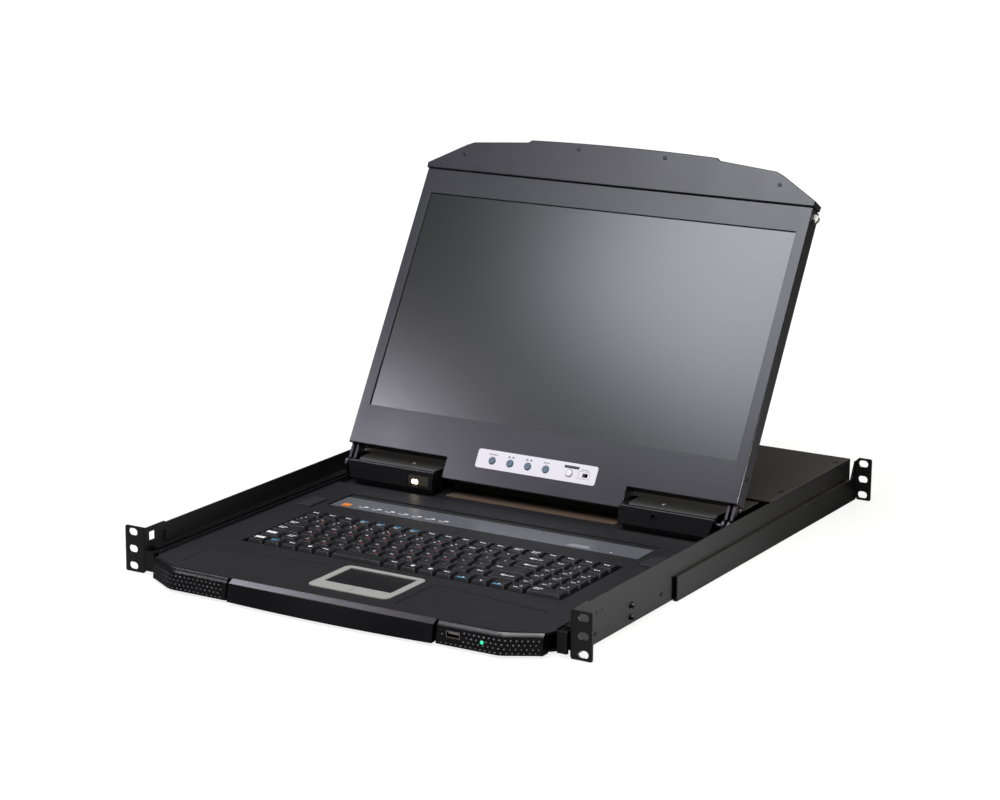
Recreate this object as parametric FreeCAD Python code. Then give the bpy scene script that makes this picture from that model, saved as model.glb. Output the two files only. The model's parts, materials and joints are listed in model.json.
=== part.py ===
"""Rack-mounted LCD console drawer, 1U high, for a 19 inch rack.

Frame: X runs to the right seen from the front, Y runs into the rack, Z is up. The origin is the centre of
the front ears' slots, on the face of the ears that seats on the rack posts. All lengths are in millimetres.
The drawer stands pushed in and its display is folded up.
"""
import FreeCAD, Part
import math
import os

V = FreeCAD.Vector

# ---------------------------------------------------------------- rack interface
EAR_HEIGHT = 42.6
EAR_T = 2.0
EAR_CORNER = 1.5
EAR_CHAMFER = 4.0         # cut off the rear ears' inner corners
EAR_NOTCH = 2.5           # cut off the front ears' lower inner corners
EAR_EDGE = 8.45           # from a slot column to the ear's outer edge
SLOT_PITCH_X = 465.1      # between the slot columns of a 19 inch rack
EAR_SPAN = SLOT_PITCH_X + 2 * EAR_EDGE
SLOT_PITCH_Z = 15.875
SLOT_L = 10.2
SLOT_W = 7.0
EAR_DEPTH = 574.0         # seat of the front ears to seat of the rear ears

# ---------------------------------------------------------------- side rails and fixed rear housing
SIDE_GAP = 0.3            # running gap between parts that slide on each other
RAIL_TO_SLOT = 12.05      # from the rail's outer face to the slot column
RAIL_OUT = SLOT_PITCH_X / 2 - RAIL_TO_SLOT
RAIL_T = 1.5
RAIL_H = 42.0
RAIL_SHORT = 7.0          # the rails end this far in front of the rear ears' seat
RAIL_LEN = EAR_DEPTH - RAIL_SHORT
RAIL_IN = RAIL_OUT - RAIL_T
RAIL_BOTTOM = -RAIL_H / 2
RAIL_TOP = RAIL_H / 2
RAIL_LOW = 1.4            # the rail's upper edge between its front end and the cover lies this far below
RAIL_FRONT_END = 28.0
BEND_R = 3.4              # outer radius of the fold between rail and front ear
RELIEF = (6.0, 3.5)       # notch under that fold: depth along the rail, height
TRAY_BACK = 398.0
COVER_T = 1.2
COVER_LAP = 17.0          # the rear cover reaches this far forward over the drawer's end
COVER_FRONT = TRAY_BACK - COVER_LAP
PAN_CLEAR = 6.0           # behind the pushed-in drawer
PAN_FRONT = TRAY_BACK + PAN_CLEAR
PAN_T = 1.2
PAN_LIFT = 1.0            # the rear pan's underside above the rails' lower edge
LATCH_WINDOW = (9.0, 8.3)                  # along the rail, and its height
LATCH_WINDOW_Z = 8.0
STUD_Y = 104.5
STUD_Z = (-4.2, -14.8)
STUD_R = 2.8
STUD_H = 3.2
RAIL_SCREWS = ((39.5, -11.0), (160.0, -9.0))
RAIL_HOLES_Y = (34.0, 42.5, 52.0)
RAIL_HOLES_Z = 6.3
RAIL_HOLE_R = 1.0
STOP_Y = (26.0, 45.0)     # stop bracket on the rail's inside
STOP_Z = (4.0, 13.5)
STOP_REACH = 2.6
STOP_T = 1.2
COVER_SCREWS = ((RAIL_OUT - 6.5, COVER_FRONT + 38.0), (RAIL_OUT - 7.0, RAIL_LEN - 21.0))
INLET = (-170.0, -2.0, 27.6, 20.0)         # rear openings: centre x, centre z, width, height
ROCKER = (-138.0, -2.0, 13.0, 19.0)
PORTS = ((60.0, -4.0, 16.6, 8.2), (90.0, -4.0, 16.6, 8.2), (120.0, -4.0, 13.2, 6.4), (145.0, -4.0, 13.2, 6.4))
PORT_IN = 12.0            # a port's shell reaches this far into the housing
PORT_OUT = 0.8            # and this far out of it
PORT_MOUTH = 9.0
PORT_WALL = 1.0
PORT_TONGUE = (3.0, 0.8, 2.0)   # set in from the sides, half thickness, short of the mouth
ROCKER_TILT = 9.0
BOARD = (-200.0, 40.0, 425.0, 545.0)       # main board inside the rear housing
BOARD_T = 1.6
BOARD_LIFT = 6.0
BOARD_POST = (8.0, 2.5)                    # from the board's edges, and its half width
SCREW_R = 2.6
SCREW_H = 0.5

# ---------------------------------------------------------------- rear brackets that set the mounting depth
BRACKET_T = 1.5
BRACKET_ROOM = 2.5        # between rail and bracket, for the screw heads
BRACKET_OUT = RAIL_OUT + SIDE_GAP + BRACKET_ROOM + BRACKET_T
BRACKET_FRONT = 183.0
BRACKET_TOP = 1.0
BRACKET_BOTTOM = -22.0
BRACKET_NECK = 13.0

# ---------------------------------------------------------------- telescopic slides
SLIDE_Z = -7.8
SLIDE_ROOM = 12.5         # width that each telescopic slide takes between rail and tray
CATCH_PIVOT_Y = 36.0
CATCH_PIVOT_R = 1.6
CATCH_T = 1.8
CATCH_TAB = (-10.4, 8.3)  # the thumb tab below and above the slide's centre line
CATCH_TAB_D = 3.0
CATCH_TAB_GAP = 1.2       # between the thumb tab and the rail
SLIDE_H = 20.8
SLIDE_T = 1.35
SLIDE_GAP = 0.35
SLIDE_NEST = 1.2          # sideways room between the nested channels
SLIDE_TIP = 3.0           # the outer channel's flanges end this far from the tray
CATCH_GAP = 0.5           # room on each side of the release lever
CATCH_SWING = 2.3         # room above and below the lever's arm
SLIDE_FRONT = 8.0
SLIDE_LEN = 470.0
INNER_LEN = 380.0

# ---------------------------------------------------------------- sliding drawer
TRAY_OUT = RAIL_IN - SLIDE_ROOM
TRAY_T = 1.2
TRAY_BOTTOM = -18.8
TRAY_RIM = 2.0            # top of the tray's low side walls
TRAY_SIDE_FRONT = 2.0
HINGE_Y = 317.0           # hinge axis of the display
HINGE_Z = 10.0
PANEL_BEHIND = 19.5       # the top panel's flat middle starts this far behind the hinge axis
PANEL_FRONT = HINGE_Y + PANEL_BEHIND
TRAY_HOUSING = PANEL_FRONT - 4.5           # the tray's side walls rise here to carry the top panel
FRONT_WALL_Y = -18.0
DECK_TOP = -1.0
DECK_GAP = 0.3
DECK_STEP_Y = HINGE_Y - 27.0               # the deck drops here to clear the display's foot
DECK_STEP = 3.0
GROOVE = 0.5
GROOVE_Y = 264.0
GROOVE_X = 176.0
GROOVE_FRONT = 190.0
PANEL_OUT = TRAY_OUT + 3.5
PANEL_TOP = 19.5
TONGUE_CURVE_Y = HINGE_Y + 4.0             # the tongues curl down round the hinges in front of this line
TONGUE_R = 12.0
TONGUE_SKIRT = 3.0        # straight end below the curl

# ---------------------------------------------------------------- pull handle
HANDLE_SEAM = 105.5
SEAM_GAP = 1.5
END_X = TRAY_OUT - 5.5
CORNER_X = END_X - 31.0
HANDLE_TOP = -0.6
CHAMFER_DROP = 2.8
HANDLE_BOTTOM = -19.6
CHAMFER_BACK_Y = (-24.0, -22.5, -8.0)      # at the seam, the corner and the end
CHAMFER_FRONT_Y = (-29.5, -28.5, -12.0)
FOOT_FRONT_Y = (-32.9, -32.4, -13.8)
GRIP_END_BACK = -4.0
CENTRE_PROUD = 1.8
CENTRE_BOW = 4.0
USB_X = 124.3
USB_Z = -10.0
USB_W = 14.0
USB_H = 6.6
USB_DEPTH = 14.0
USB_WALL = 0.6
LED_X = 152.5
LED_Z = -11.5
LED_R = 1.5
LED_LEN = 12.0

# ---------------------------------------------------------------- keyboard
KEY_PITCH_X = 18.4
KEY_PITCH_Y = 18.5
KEY_COLUMNS = 18
KEY_FRONT = 77.5
KEY_TOP = 0.9
KEY_SKIRT = -4.6
KEY_SPLIT = 0.9           # gap between two key skirts
KEY_TAPER = (1.9, 2.4)    # how far the top pulls in at the sides and at the front
KEY_BACK_TAPER = 0.4      # share of the front taper that the back has
KEY_TRAVEL = 2.0
POST_W = 4.6
POST_DROP = 2.9
KEYPLATE_T = 1.2
KEYPLATE_RIM = 2.0
KEYPLATE_TOP = KEY_SKIRT - KEY_TRAVEL - 0.4
KEY_ROWS = (              # widths in key units, from the front row to the back
    (1,) * 5 + (3,) + (1,) * 8 + (2,),
    (1.25,) + (1,) * 12 + (1.75,) + (1,) * 3,
    (1.75,) + (1,) * 11 + (2.25,) + (1,) * 3,
    (1.5,) + (1,) * 12 + (1.5,) + (1,) * 3,
    (1,) * 13 + (2,) + (1,) * 3,
    (1,) * 18,
)
WELL_MARGIN = (2.3, 3.2, 1.5)              # round the keys: sides, front, back

# ---------------------------------------------------------------- indicator strip, touchpad and palm rests
STRIP_HALF = 166.5
STRIP_Y = (218.0, 250.0)
STRIP_T = 0.6
STRIP_DEPTH = 1.2
STRIP_MARGIN = (2.0, 2.0, 10.0)           # recess round the strip: sides, front, back
PAD_HALF = 42.0
PAD_Y = (-4.5, 62.5)
PAD_CORNER = 7.0
PAD_PROUD = 0.7
PAD_T = 2.2
PAD_BUTTON_Y = 13.0
PAD_SIDE = 7.5
PAD_BACK = 5.0
PAD_SINK = 1.2
PAD_SPLIT = 0.4
PALM = ((52.0, -12.0), (176.0, -9.0), (178.0, 41.0), (52.0, 57.0))
PALM_DEPTH = 0.4
PALM_CORNER = 6.0

# ---------------------------------------------------------------- hinge covers and hinges
CHIN_HALF = 99.5          # half width of the display's middle part, which reaches down to the hinge axis
LCD_HALF = TRAY_OUT + 7.5
COVER_IN = CHIN_HALF + 3.0
COVER_OUT = TRAY_OUT - 5.5
PIN_R = 3.0
PIN_CLEAR = 0.05
PIN_START = COVER_OUT - 21.0
PIN_OUT = LCD_HALF - 1.0
HOOD_FOOT_Y = HINGE_Y - 19.0
HOOD_TOP_Y = HINGE_Y - 15.0
HOOD_RETURN_Y = HINGE_Y - 11.3             # back edge of the narrow top
HOOD_BACK_Y = HINGE_Y + 1.5                # back edge of the inboard end wall
HOOD_SIDE_Y = TONGUE_CURVE_Y - TONGUE_R - 1.0   # back edge of the outboard end wall
HOOD_FOOT_Z = 3.0
HOOD_TOP_Z = 20.0
HOOD_T = 2.0
HOOD_ROUND = 1.6
HOOD_CHAMFER = (5.0, 16.0)                 # outboard lower corner: width, height
PLINTH_SET = 7.0          # the recessed foot stands this far behind the hood's lower edge
TONGUE_IN = COVER_IN + HOOD_T + SIDE_GAP
TONGUE_OUT = COVER_OUT - 4.0
LAMP_X = (-131.0, -107.0)
LAMP_Z = (4.8, 15.2)
JACK_X = 139.0
JACK_Z = 13.6
JACK_R = 3.2
JACK_BORE = 1.75
EYE_WALL = 2.7
HINGE_PLATE_T = 3.0
HINGE_PLATE_PITCH = 8.0
HINGE_PLATE_BACK = 12.0   # behind the hinge axis
HINGE_PLATE_NOSE = 4.5    # cut off the plates' upper corners
RIBBON = (188.0, 26.0)
RIBBON_T = 0.8

# ---------------------------------------------------------------- display (measured along its own face)
LEAN = 30.16              # degrees that the raised display leans back from upright
FACE_FWD = 6.9            # its front face ahead of the hinge axis
SCREEN_UP = 61.9          # lower edge of the screen above the hinge axis
SCREEN_BORDER = 11.3      # bezel beside the screen
SCREEN_W = 2 * (LCD_HALF - SCREEN_BORDER)
SCREEN_H = 228.4
LCD_T = 17.0
LCD_CHIN = 40.7           # bezel below the screen, outside the middle
LCD_TOP = SCREEN_H + 26.1                  # bezel's upper edge above the screen's lower edge
BEZEL_T = 1.6
BEZEL_SKIRT = 4.2
BEZEL_EDGE = 0.6
BACK_T = 1.2
VENT_UP = (190.0, 214.0)  # slots in the display's back
VENTS = 13
VENT_PITCH = 15.0
VENT_W = 2.4
PANEL_T = 8.0
PANEL_LAP = (1.0, 3.0)    # the panel reaches this far behind the bezel: sides, top and bottom
LIP_PROUD = 2.0
LIP_EDGE = 0.8
LIP_BACK = 14.0
LIP_OUTLINE = ((LCD_HALF + 1.0, 0.3), (LCD_HALF + 1.6, 5.7), (LCD_HALF - 38.0, 28.5), (LCD_HALF - 46.0, 31.8),
               (107.0, 37.1), (103.5, 39.8))   # x, and height above the bezel's upper edge
LIP_CROWN = 41.7          # top of the lip's shallow middle arch above that edge
LIP_SCREWS = ((LCD_HALF - 39.0, 18.5), (48.0, 34.5))
PLATE_HALF = 66.0
PLATE_UP = (-45.6, -26.6)
PLATE_T = 0.5
PLATE_CORNER = 2.5
BUTTON_UP = -37.1
OSD_X = (-48.7, -28.8, -9.1, 10.7)
OSD_R = 3.4
POWER_X = 36.5
POWER_R = 3.4
SWITCH_X = 52.6
SWITCH_W = 2.6
SWITCH_H = 3.2
SWITCH_TRAVEL = 2.4
BUTTON_GAP = 0.3
BUTTON_PROUD = 1.4
BUTTON_SIDES = 24
BUTTON_LEN = 5.4
ARM_CHEEKS = ((LCD_HALF - 10.6, LCD_HALF - 7.6), (LCD_HALF - 4.9, LCD_HALF - 1.9))
ARM_R = 7.0
ARM_UP = 43.0
ARM_BACK = 4.0
HOOK_UP = (LCD_TOP - 12.6, LCD_TOP - 4.4)
HOOK_OUT = LCD_HALF + 4.3
HOOK_D = 7.0              # front of the hook behind the display's face
HOOK_ROOT = 0.4           # let into the case
HOOK_ROOT_T = 4.0
HOOK_T = 5.0
HOOK_BARB = (3.0, 2.5, 2.0)   # barb's slope up, its reach, and the bevel above it


def box(x0, x1, y0, y1, z0, z1):
    """Box between two corners, given in any order."""
    low = V(min(x0, x1), min(y0, y1), min(z0, z1))
    return Part.makeBox(abs(x1 - x0), abs(y1 - y0), abs(z1 - z0), low)


def prism(points, direction):
    """Flat polygon carried along a vector."""
    wire = Part.makePolygon([V(*p) for p in points] + [V(*points[0])])
    return Part.Face(wire).extrude(V(*direction))


def rounded_slab(x0, x1, y0, y1, z0, z1, radius):
    """Box whose four upright edges are rounded."""
    slab = box(x0, x1, y0, y1, z0, z1)
    upright = [e for e in slab.Edges if abs(e.Vertexes[0].Z - e.Vertexes[1].Z) > (z1 - z0) / 2]
    return slab.makeFillet(radius, upright)


def rod(centre, axis, radius, length):
    """Cylinder from a point along a direction."""
    return Part.makeCylinder(radius, length, V(*centre), V(*axis))


def flat_rod(centre, axis, radius, length, sides=16):
    """Round bar with flat sides, for a small piece that needs no smooth wall."""
    along = V(*axis)
    first = V(1, 0, 0) if abs(along.z) > 0.5 else V(0, 0, 1)
    second = along.cross(first)
    turns = [2 * math.pi * (i + 0.5) / sides for i in range(sides)]
    points = [V(*centre) + first * radius * math.cos(t) + second * radius * math.sin(t) for t in turns]
    return Part.Face(Part.makePolygon(points + [points[0]])).extrude(along * length)


def frustum(low, high, z0, z1):
    """Solid between two level rectangles, each given as (x0, x1, y0, y1)."""
    rings = []
    for (x0, x1, y0, y1), z in ((low, z0), (high, z1)):
        rings.append([V(x0, y0, z), V(x1, y0, z), V(x1, y1, z), V(x0, y1, z)])
    faces = [Part.Face(Part.makePolygon(ring + [ring[0]])) for ring in rings]
    for i in range(4):
        j = (i + 1) % 4
        quad = [rings[0][i], rings[0][j], rings[1][j], rings[1][i]]
        faces.append(Part.Face(Part.makePolygon(quad + [quad[0]])))
    solid = Part.makeSolid(Part.makeShell(faces))
    if solid.Volume < 0:
        solid.reverse()
    return solid


def fuse(shapes):
    """One solid from pieces that overlap or touch."""
    body = shapes[0]
    for shape in shapes[1:]:
        body = body.fuse(shape)
    return body.removeSplitter()


def cut(body, tools):
    """Body with every tool taken away."""
    for tool in tools:
        body = body.cut(tool)
    return body


def flip(shape):
    """Mirror image on the other side of the middle plane."""
    return shape.mirror(V(0, 0, 0), V(1, 0, 0))


def export(node, shapes):
    """One STEP file per node, with one solid or several."""
    shape = Part.makeCompound(shapes) if isinstance(shapes, list) else shapes
    shape.exportStep("parts/%s.step" % node)


def both_sides(name, shape):
    """A right-hand piece and its mirror image."""
    export(name + "_right", shape)
    export(name + "_left", flip(shape))


# ---------------------------------------------------------------- fixed frame

def rack_slot(z, y0, y1):
    """Tool for one rack slot of the right ear, centred on its column."""
    x = SLOT_PITCH_X / 2
    half = (SLOT_L - SLOT_W) / 2
    middle = box(x - half, x + half, y0, y1, z - SLOT_W / 2, z + SLOT_W / 2)
    ends = [rod((x + side * half, y0, z), (0, 1, 0), SLOT_W / 2, y1 - y0) for side in (-1, 1)]
    return fuse([middle] + ends)


def ear(inner, y_front, low_cut, high_cut):
    """Right-hand ear with three slots, its two inner corners cut off at 45 degrees."""
    low, high, out = -EAR_HEIGHT / 2, EAR_HEIGHT / 2, EAR_SPAN / 2
    corners = [(inner, y_front, low + low_cut), (inner + low_cut, y_front, low), (out, y_front, low),
               (out, y_front, high), (inner + high_cut, y_front, high), (inner, y_front, high - high_cut)]
    plate = prism(corners, (0, EAR_T, 0))
    outer = [e for e in plate.Edges
             if min(v.X for v in e.Vertexes) > out - 1 and abs(e.Vertexes[0].Y - e.Vertexes[1].Y) > EAR_T / 2]
    plate = plate.makeFillet(EAR_CORNER, outer)
    slots = [rack_slot(z, y_front - 1, y_front + EAR_T + 1) for z in (-SLOT_PITCH_Z, 0, SLOT_PITCH_Z)]
    return cut(plate, slots)


def quarter_round(x, y, turn_x, turn_y, radius):
    """Upright bar that fills a square corner up to a quarter circle; the turns say which way it lies."""
    x1, y1 = x + turn_x * radius, y + turn_y * radius
    block = box(x, x1, y, y1, -EAR_HEIGHT, EAR_HEIGHT)
    return block.cut(rod((x1, y1, -EAR_HEIGHT), (0, 0, 1), radius, 2 * EAR_HEIGHT))


def side_rail():
    """Folded sheet: a long web with the ear bent out, a window for the display's hook and a stop bracket."""
    web = box(RAIL_IN, RAIL_OUT, 0, RAIL_LEN, RAIL_BOTTOM, RAIL_TOP)
    low_edge = box(RAIL_IN - 1, RAIL_OUT + 1, RAIL_FRONT_END, COVER_FRONT, RAIL_TOP - RAIL_LOW, RAIL_TOP + 1)
    seat = box(RAIL_IN - 1, RAIL_OUT + 1, COVER_FRONT, RAIL_LEN + 1, RAIL_TOP - COVER_T, RAIL_TOP + 1)
    relief = box(RAIL_IN - 1, RAIL_OUT + 1, 0, RELIEF[0], RAIL_BOTTOM - 1, RAIL_BOTTOM + RELIEF[1])
    window_y = HINGE_Y - SCREEN_UP - HOOK_UP[1] - (LATCH_WINDOW[0] - HOOK_UP[1] + HOOK_UP[0]) / 2
    window = box(RAIL_IN - 1, RAIL_OUT + 1, window_y, window_y + LATCH_WINDOW[0],
                 LATCH_WINDOW_Z, LATCH_WINDOW_Z + LATCH_WINDOW[1])
    holes = [flat_rod((RAIL_IN - 1, y, RAIL_HOLES_Z), (1, 0, 0), RAIL_HOLE_R, RAIL_T + 2, 8)
             for y in RAIL_HOLES_Y]
    studs = [flat_rod((RAIL_IN - 1, STUD_Y, z), (1, 0, 0), STUD_R, RAIL_T + 2, 12) for z in STUD_Z]
    web = cut(web, [low_edge, seat, relief, window] + holes + studs)
    fill = quarter_round(RAIL_OUT, 0, 1, 1, BEND_R - EAR_T)
    fill = fill.common(box(RAIL_OUT, RAIL_OUT + BEND_R, 0, BEND_R, RAIL_BOTTOM + RELIEF[1], RAIL_TOP))
    stop = box(RAIL_IN - STOP_T, RAIL_IN, STOP_Y[0], STOP_Y[1], STOP_Z[0], STOP_Z[1])
    stop_tab = box(RAIL_IN - STOP_REACH, RAIL_IN, STOP_Y[0], STOP_Y[0] + STOP_T, STOP_Z[0], STOP_Z[1])
    body = fuse([web, ear(RAIL_IN, -EAR_T, EAR_NOTCH, EAR_CHAMFER / 8), fill, stop, stop_tab])
    return body.cut(quarter_round(RAIL_IN, -EAR_T, 1, 1, BEND_R))


def slide_member(x_web, half, length, x_tip, y0):
    """Channel of a telescopic slide: a web with two flanges that reach from x_web to x_tip."""
    thick = math.copysign(SLIDE_T, x_tip - x_web)
    web = box(x_web, x_web + thick, y0, y0 + length, SLIDE_Z - half, SLIDE_Z + half)
    flanges = []
    for side in (-1, 1):
        edge = SLIDE_Z + side * half
        flanges.append(box(x_web, x_tip, y0, y0 + length, edge, edge - side * SLIDE_T))
    return fuse([web] + flanges)


OUTER_HALF = SLIDE_H / 2
MIDDLE_HALF = OUTER_HALF - SLIDE_T - SLIDE_GAP
INNER_HALF = MIDDLE_HALF - SLIDE_T - SLIDE_GAP
MIDDLE_WEB = RAIL_IN - SLIDE_T - SLIDE_NEST
OUTER_TIP = TRAY_OUT + SLIDE_TIP
MIDDLE_TIP = OUTER_TIP - SLIDE_NEST / 2
INNER_TIP = MIDDLE_WEB - SLIDE_T - SLIDE_NEST / 2
CATCH_X = TRAY_OUT + SLIDE_T + CATCH_GAP


def slides():
    """Outer, middle and inner channels of both slides, nested with a running gap."""
    outer = slide_member(RAIL_IN, OUTER_HALF, SLIDE_LEN, OUTER_TIP, SLIDE_FRONT)
    export("slide_outer_pair", [outer, flip(outer)])
    both_sides("slide_middle", slide_member(MIDDLE_WEB, MIDDLE_HALF, SLIDE_LEN, MIDDLE_TIP, SLIDE_FRONT))
    inner = slide_member(TRAY_OUT, INNER_HALF, INNER_LEN, INNER_TIP, TRAY_SIDE_FRONT)
    rivet_len = CATCH_T + 2 * CATCH_GAP
    rivet = rod((TRAY_OUT + SLIDE_T, CATCH_PIVOT_Y, SLIDE_Z), (1, 0, 0), CATCH_PIVOT_R, rivet_len)
    inner = fuse([inner, rivet])
    export("slide_inner_pair", [inner, flip(inner)])


def slide_catch():
    """Release lever inside the inner channel, with a thumb tab in front of the rails."""
    arm_half = INNER_HALF - SLIDE_T - CATCH_SWING
    tab_low, tab_high = CATCH_TAB
    arm_end = CATCH_PIVOT_Y + CATCH_PIVOT_R + 3.4
    arm = box(CATCH_X, CATCH_X + CATCH_T, -CATCH_TAB_D, arm_end, SLIDE_Z - arm_half, SLIDE_Z + arm_half)
    tab_out = RAIL_IN - CATCH_TAB_GAP
    tab = box(CATCH_X, tab_out, -CATCH_TAB_D, 0, SLIDE_Z + tab_low, SLIDE_Z + tab_high)
    bore = rod((CATCH_X - 1, CATCH_PIVOT_Y, SLIDE_Z), (1, 0, 0), CATCH_PIVOT_R + PIN_CLEAR, CATCH_T + 2)
    return cut(fuse([arm, tab]), [bore])


def rear_bracket():
    """Channel that slides along the rail's outside and carries the rear ear."""
    end = EAR_DEPTH
    inner = RAIL_OUT + SIDE_GAP
    web = box(BRACKET_OUT - BRACKET_T, BRACKET_OUT, BRACKET_FRONT, end, BRACKET_BOTTOM, BRACKET_TOP)
    top = box(inner, BRACKET_OUT, BRACKET_FRONT, end - BRACKET_NECK, BRACKET_TOP - BRACKET_T, BRACKET_TOP)
    foot = box(inner, BRACKET_OUT, BRACKET_FRONT, end, BRACKET_BOTTOM, BRACKET_BOTTOM + BRACKET_T)
    high = EAR_HEIGHT / 2
    neck = prism([(BRACKET_OUT - BRACKET_T, end - BRACKET_NECK, BRACKET_TOP - 1),
                  (BRACKET_OUT - BRACKET_T, end, BRACKET_TOP - 1),
                  (BRACKET_OUT - BRACKET_T, end, high - 3.5),
                  (BRACKET_OUT - BRACKET_T, end - 4, high - 3.5)], (BRACKET_T, 0, 0))
    return fuse([web, top, foot, neck, ear(BRACKET_OUT - BRACKET_T, end - EAR_T, EAR_CHAMFER, EAR_CHAMFER)])


def rear_housing():
    """Fixed box at the back: pan with front and rear walls, its ports, and the cover over it."""
    floor = RAIL_BOTTOM + PAN_LIFT
    roof = RAIL_TOP - COVER_T
    bottom = box(-RAIL_IN, RAIL_IN, PAN_FRONT, RAIL_LEN, floor, floor + PAN_T)
    front = box(-TRAY_OUT, TRAY_OUT, PAN_FRONT, PAN_FRONT + PAN_T, floor, roof)
    back = box(-RAIL_IN, RAIL_IN, RAIL_LEN - PAN_T, RAIL_LEN, floor, roof)
    tools = [box(x - w / 2, x + w / 2, RAIL_LEN - 5, RAIL_LEN + 1, z - h / 2, z + h / 2)
             for x, z, w, h in [INLET, ROCKER] + list(PORTS)]
    vents = [box(x - 0.9, x + 0.9, RAIL_LEN - 5, RAIL_LEN + 1, -8, 8)
             for x in [-60 + 5 * i for i in range(12)]]
    export("rear_pan", cut(fuse([bottom, front, back]), tools + vents))
    cover = box(-RAIL_OUT, RAIL_OUT, COVER_FRONT, RAIL_LEN, roof, RAIL_TOP)
    screws = [flat_rod((side * x, y, roof - 1), (0, 0, 1), SCREW_R, 5)
              for x, y in COVER_SCREWS for side in (-1, 1)]
    lip = box(-RAIL_IN + 1, RAIL_IN - 1, PAN_FRONT + PAN_T + 0.2, PAN_FRONT + PAN_T + 1.4, roof - 6, roof)
    export("rear_cover", cut(fuse([cover, lip]), screws))
    x, z, w, h = INLET
    socket = box(x - w / 2, x + w / 2, RAIL_LEN - 20, RAIL_LEN + 0.8, z - h / 2, z + h / 2)
    flange = flange_plate(x, z, w + 5, h + 4)
    well = box(x - 12, x + 12, RAIL_LEN - 17, RAIL_LEN + 3, z - 8.2, z + 8.2)
    pins = [box(x + dx - 1, x + dx + 1, RAIL_LEN - 18, RAIL_LEN - 4, z + dz - 2, z + dz + 2)
            for dx, dz in ((-7, 2), (0, -2), (7, 2))]
    inlet = fuse([cut(fuse([socket, flange]), [well])] + pins)
    x, z, w, h = ROCKER
    barrel = box(x - w / 2, x + w / 2, RAIL_LEN - 16, RAIL_LEN + 0.8, z - h / 2, z + h / 2)
    inner_w, inner_h = w / 2 - PAN_T, h / 2 - PAN_T
    cavity = box(x - inner_w, x + inner_w, RAIL_LEN - 14, RAIL_LEN + 3, z - inner_h, z + inner_h)
    export("power_inlet", [inlet, cut(fuse([barrel, flange_plate(x, z, w + 3, h + 3)]), [cavity])])
    export("power_rocker", rocker())
    x0, x1, y0, y1 = BOARD
    board_z = floor + PAN_T + BOARD_LIFT
    board = box(x0, x1, y0, y1, board_z, board_z + BOARD_T)
    inset, half = BOARD_POST
    posts = [box(x - half, x + half, y - half, y + half, floor + PAN_T, board_z)
             for x in (x0 + inset, x1 - inset) for y in (y0 + inset, y1 - inset)]
    export("main_board", fuse([board] + posts))
    shells = []
    inset, half, short = PORT_TONGUE
    for x, z, w, h in PORTS:
        wide, tall = w / 2, h / 2
        in_wide, in_tall = wide - PORT_WALL, tall - PORT_WALL
        shell = box(x - wide, x + wide, RAIL_LEN - PORT_IN, RAIL_LEN + PORT_OUT, z - tall, z + tall)
        mouth = box(x - in_wide, x + in_wide, RAIL_LEN - PORT_MOUTH, RAIL_LEN + PORT_OUT + 1, z - in_tall,
                    z + in_tall)
        tongue = box(x - wide + inset, x + wide - inset, RAIL_LEN - PORT_MOUTH - 1, RAIL_LEN - short,
                     z - half, z + half)
        shells.append(fuse([cut(shell, [mouth]), tongue]))
    export("rear_ports", shells)


def flange_plate(x, z, w, h):
    """Flange of a socket or switch, flat on the rear wall's outside."""
    return box(x - w / 2, x + w / 2, RAIL_LEN, RAIL_LEN + 0.8, z - h / 2, z + h / 2)


def rocker():
    """Rocker of the power switch: two faces that meet in a shallow valley, its lower half pressed in."""
    x, z, w, h = ROCKER
    half_w, half_h = w / 2 - 1.8, h / 2 - 2.6
    crest, back = 2.6, 7.0
    side, root = x - half_w, half_h * 0.6
    profile = [(side, -back, -root), (side, crest, -half_h), (side, crest * 0.45, 0), (side, crest, half_h),
               (side, -back, root)]
    body = prism(profile, (2 * half_w, 0, 0))
    body.rotate(V(0, 0, 0), V(1, 0, 0), -ROCKER_TILT)
    body.translate(V(0, RAIL_LEN + 1.0, z))
    return body


def screw(centre, axis, radius=SCREW_R):
    """Low screw head with its underside on a surface."""
    return flat_rod(centre, axis, radius, SCREW_H, 12)


def chassis_fasteners():
    """Screws and plastic studs of the fixed frame."""
    items = []
    for side in (-1, 1):
        for y, z in RAIL_SCREWS:
            items.append(screw((side * RAIL_OUT, y, z), (side, 0, 0)))
        for x, y in COVER_SCREWS:
            items.append(screw((side * x, y, RAIL_TOP - COVER_T), (0, 0, 1), SCREW_R - 0.1))
        for z in STUD_Z:
            x = side * (RAIL_IN + 0.2)
            items.append(flat_rod((x, STUD_Y, z), (side, 0, 0), STUD_R - 0.05, RAIL_T - 0.2 + STUD_H, 12))
    export("chassis_screws", items)


# ---------------------------------------------------------------- drawer

def base_tray():
    """Sheet tray under the keyboard, with low side walls that rise at the back."""
    right = [(CORNER_X, FRONT_WALL_Y), (END_X, GRIP_END_BACK), (TRAY_OUT, TRAY_SIDE_FRONT),
             (TRAY_OUT, TRAY_BACK)]
    outline = [(-x, y) for x, y in reversed(right)] + right
    floor = prism([(x, y, TRAY_BOTTOM) for x, y in outline], (0, 0, TRAY_T))
    walls = [box(-CORNER_X, CORNER_X, FRONT_WALL_Y, FRONT_WALL_Y + TRAY_T, TRAY_BOTTOM, DECK_UNDER)]
    roof = PANEL_TOP - TRAY_T
    for side in (-1, 1):
        x0, x1 = side * (TRAY_OUT - TRAY_T), side * TRAY_OUT
        walls.append(box(x0, x1, TRAY_SIDE_FRONT, TRAY_BACK, TRAY_BOTTOM, TRAY_RIM))
        walls.append(box(x0, x1, TRAY_HOUSING, TRAY_BACK, TRAY_BOTTOM, roof))
    walls.append(box(-TRAY_OUT, TRAY_OUT, TRAY_BACK - TRAY_T, TRAY_BACK, TRAY_BOTTOM, roof))
    export("base_tray", fuse([floor] + walls))


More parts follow.
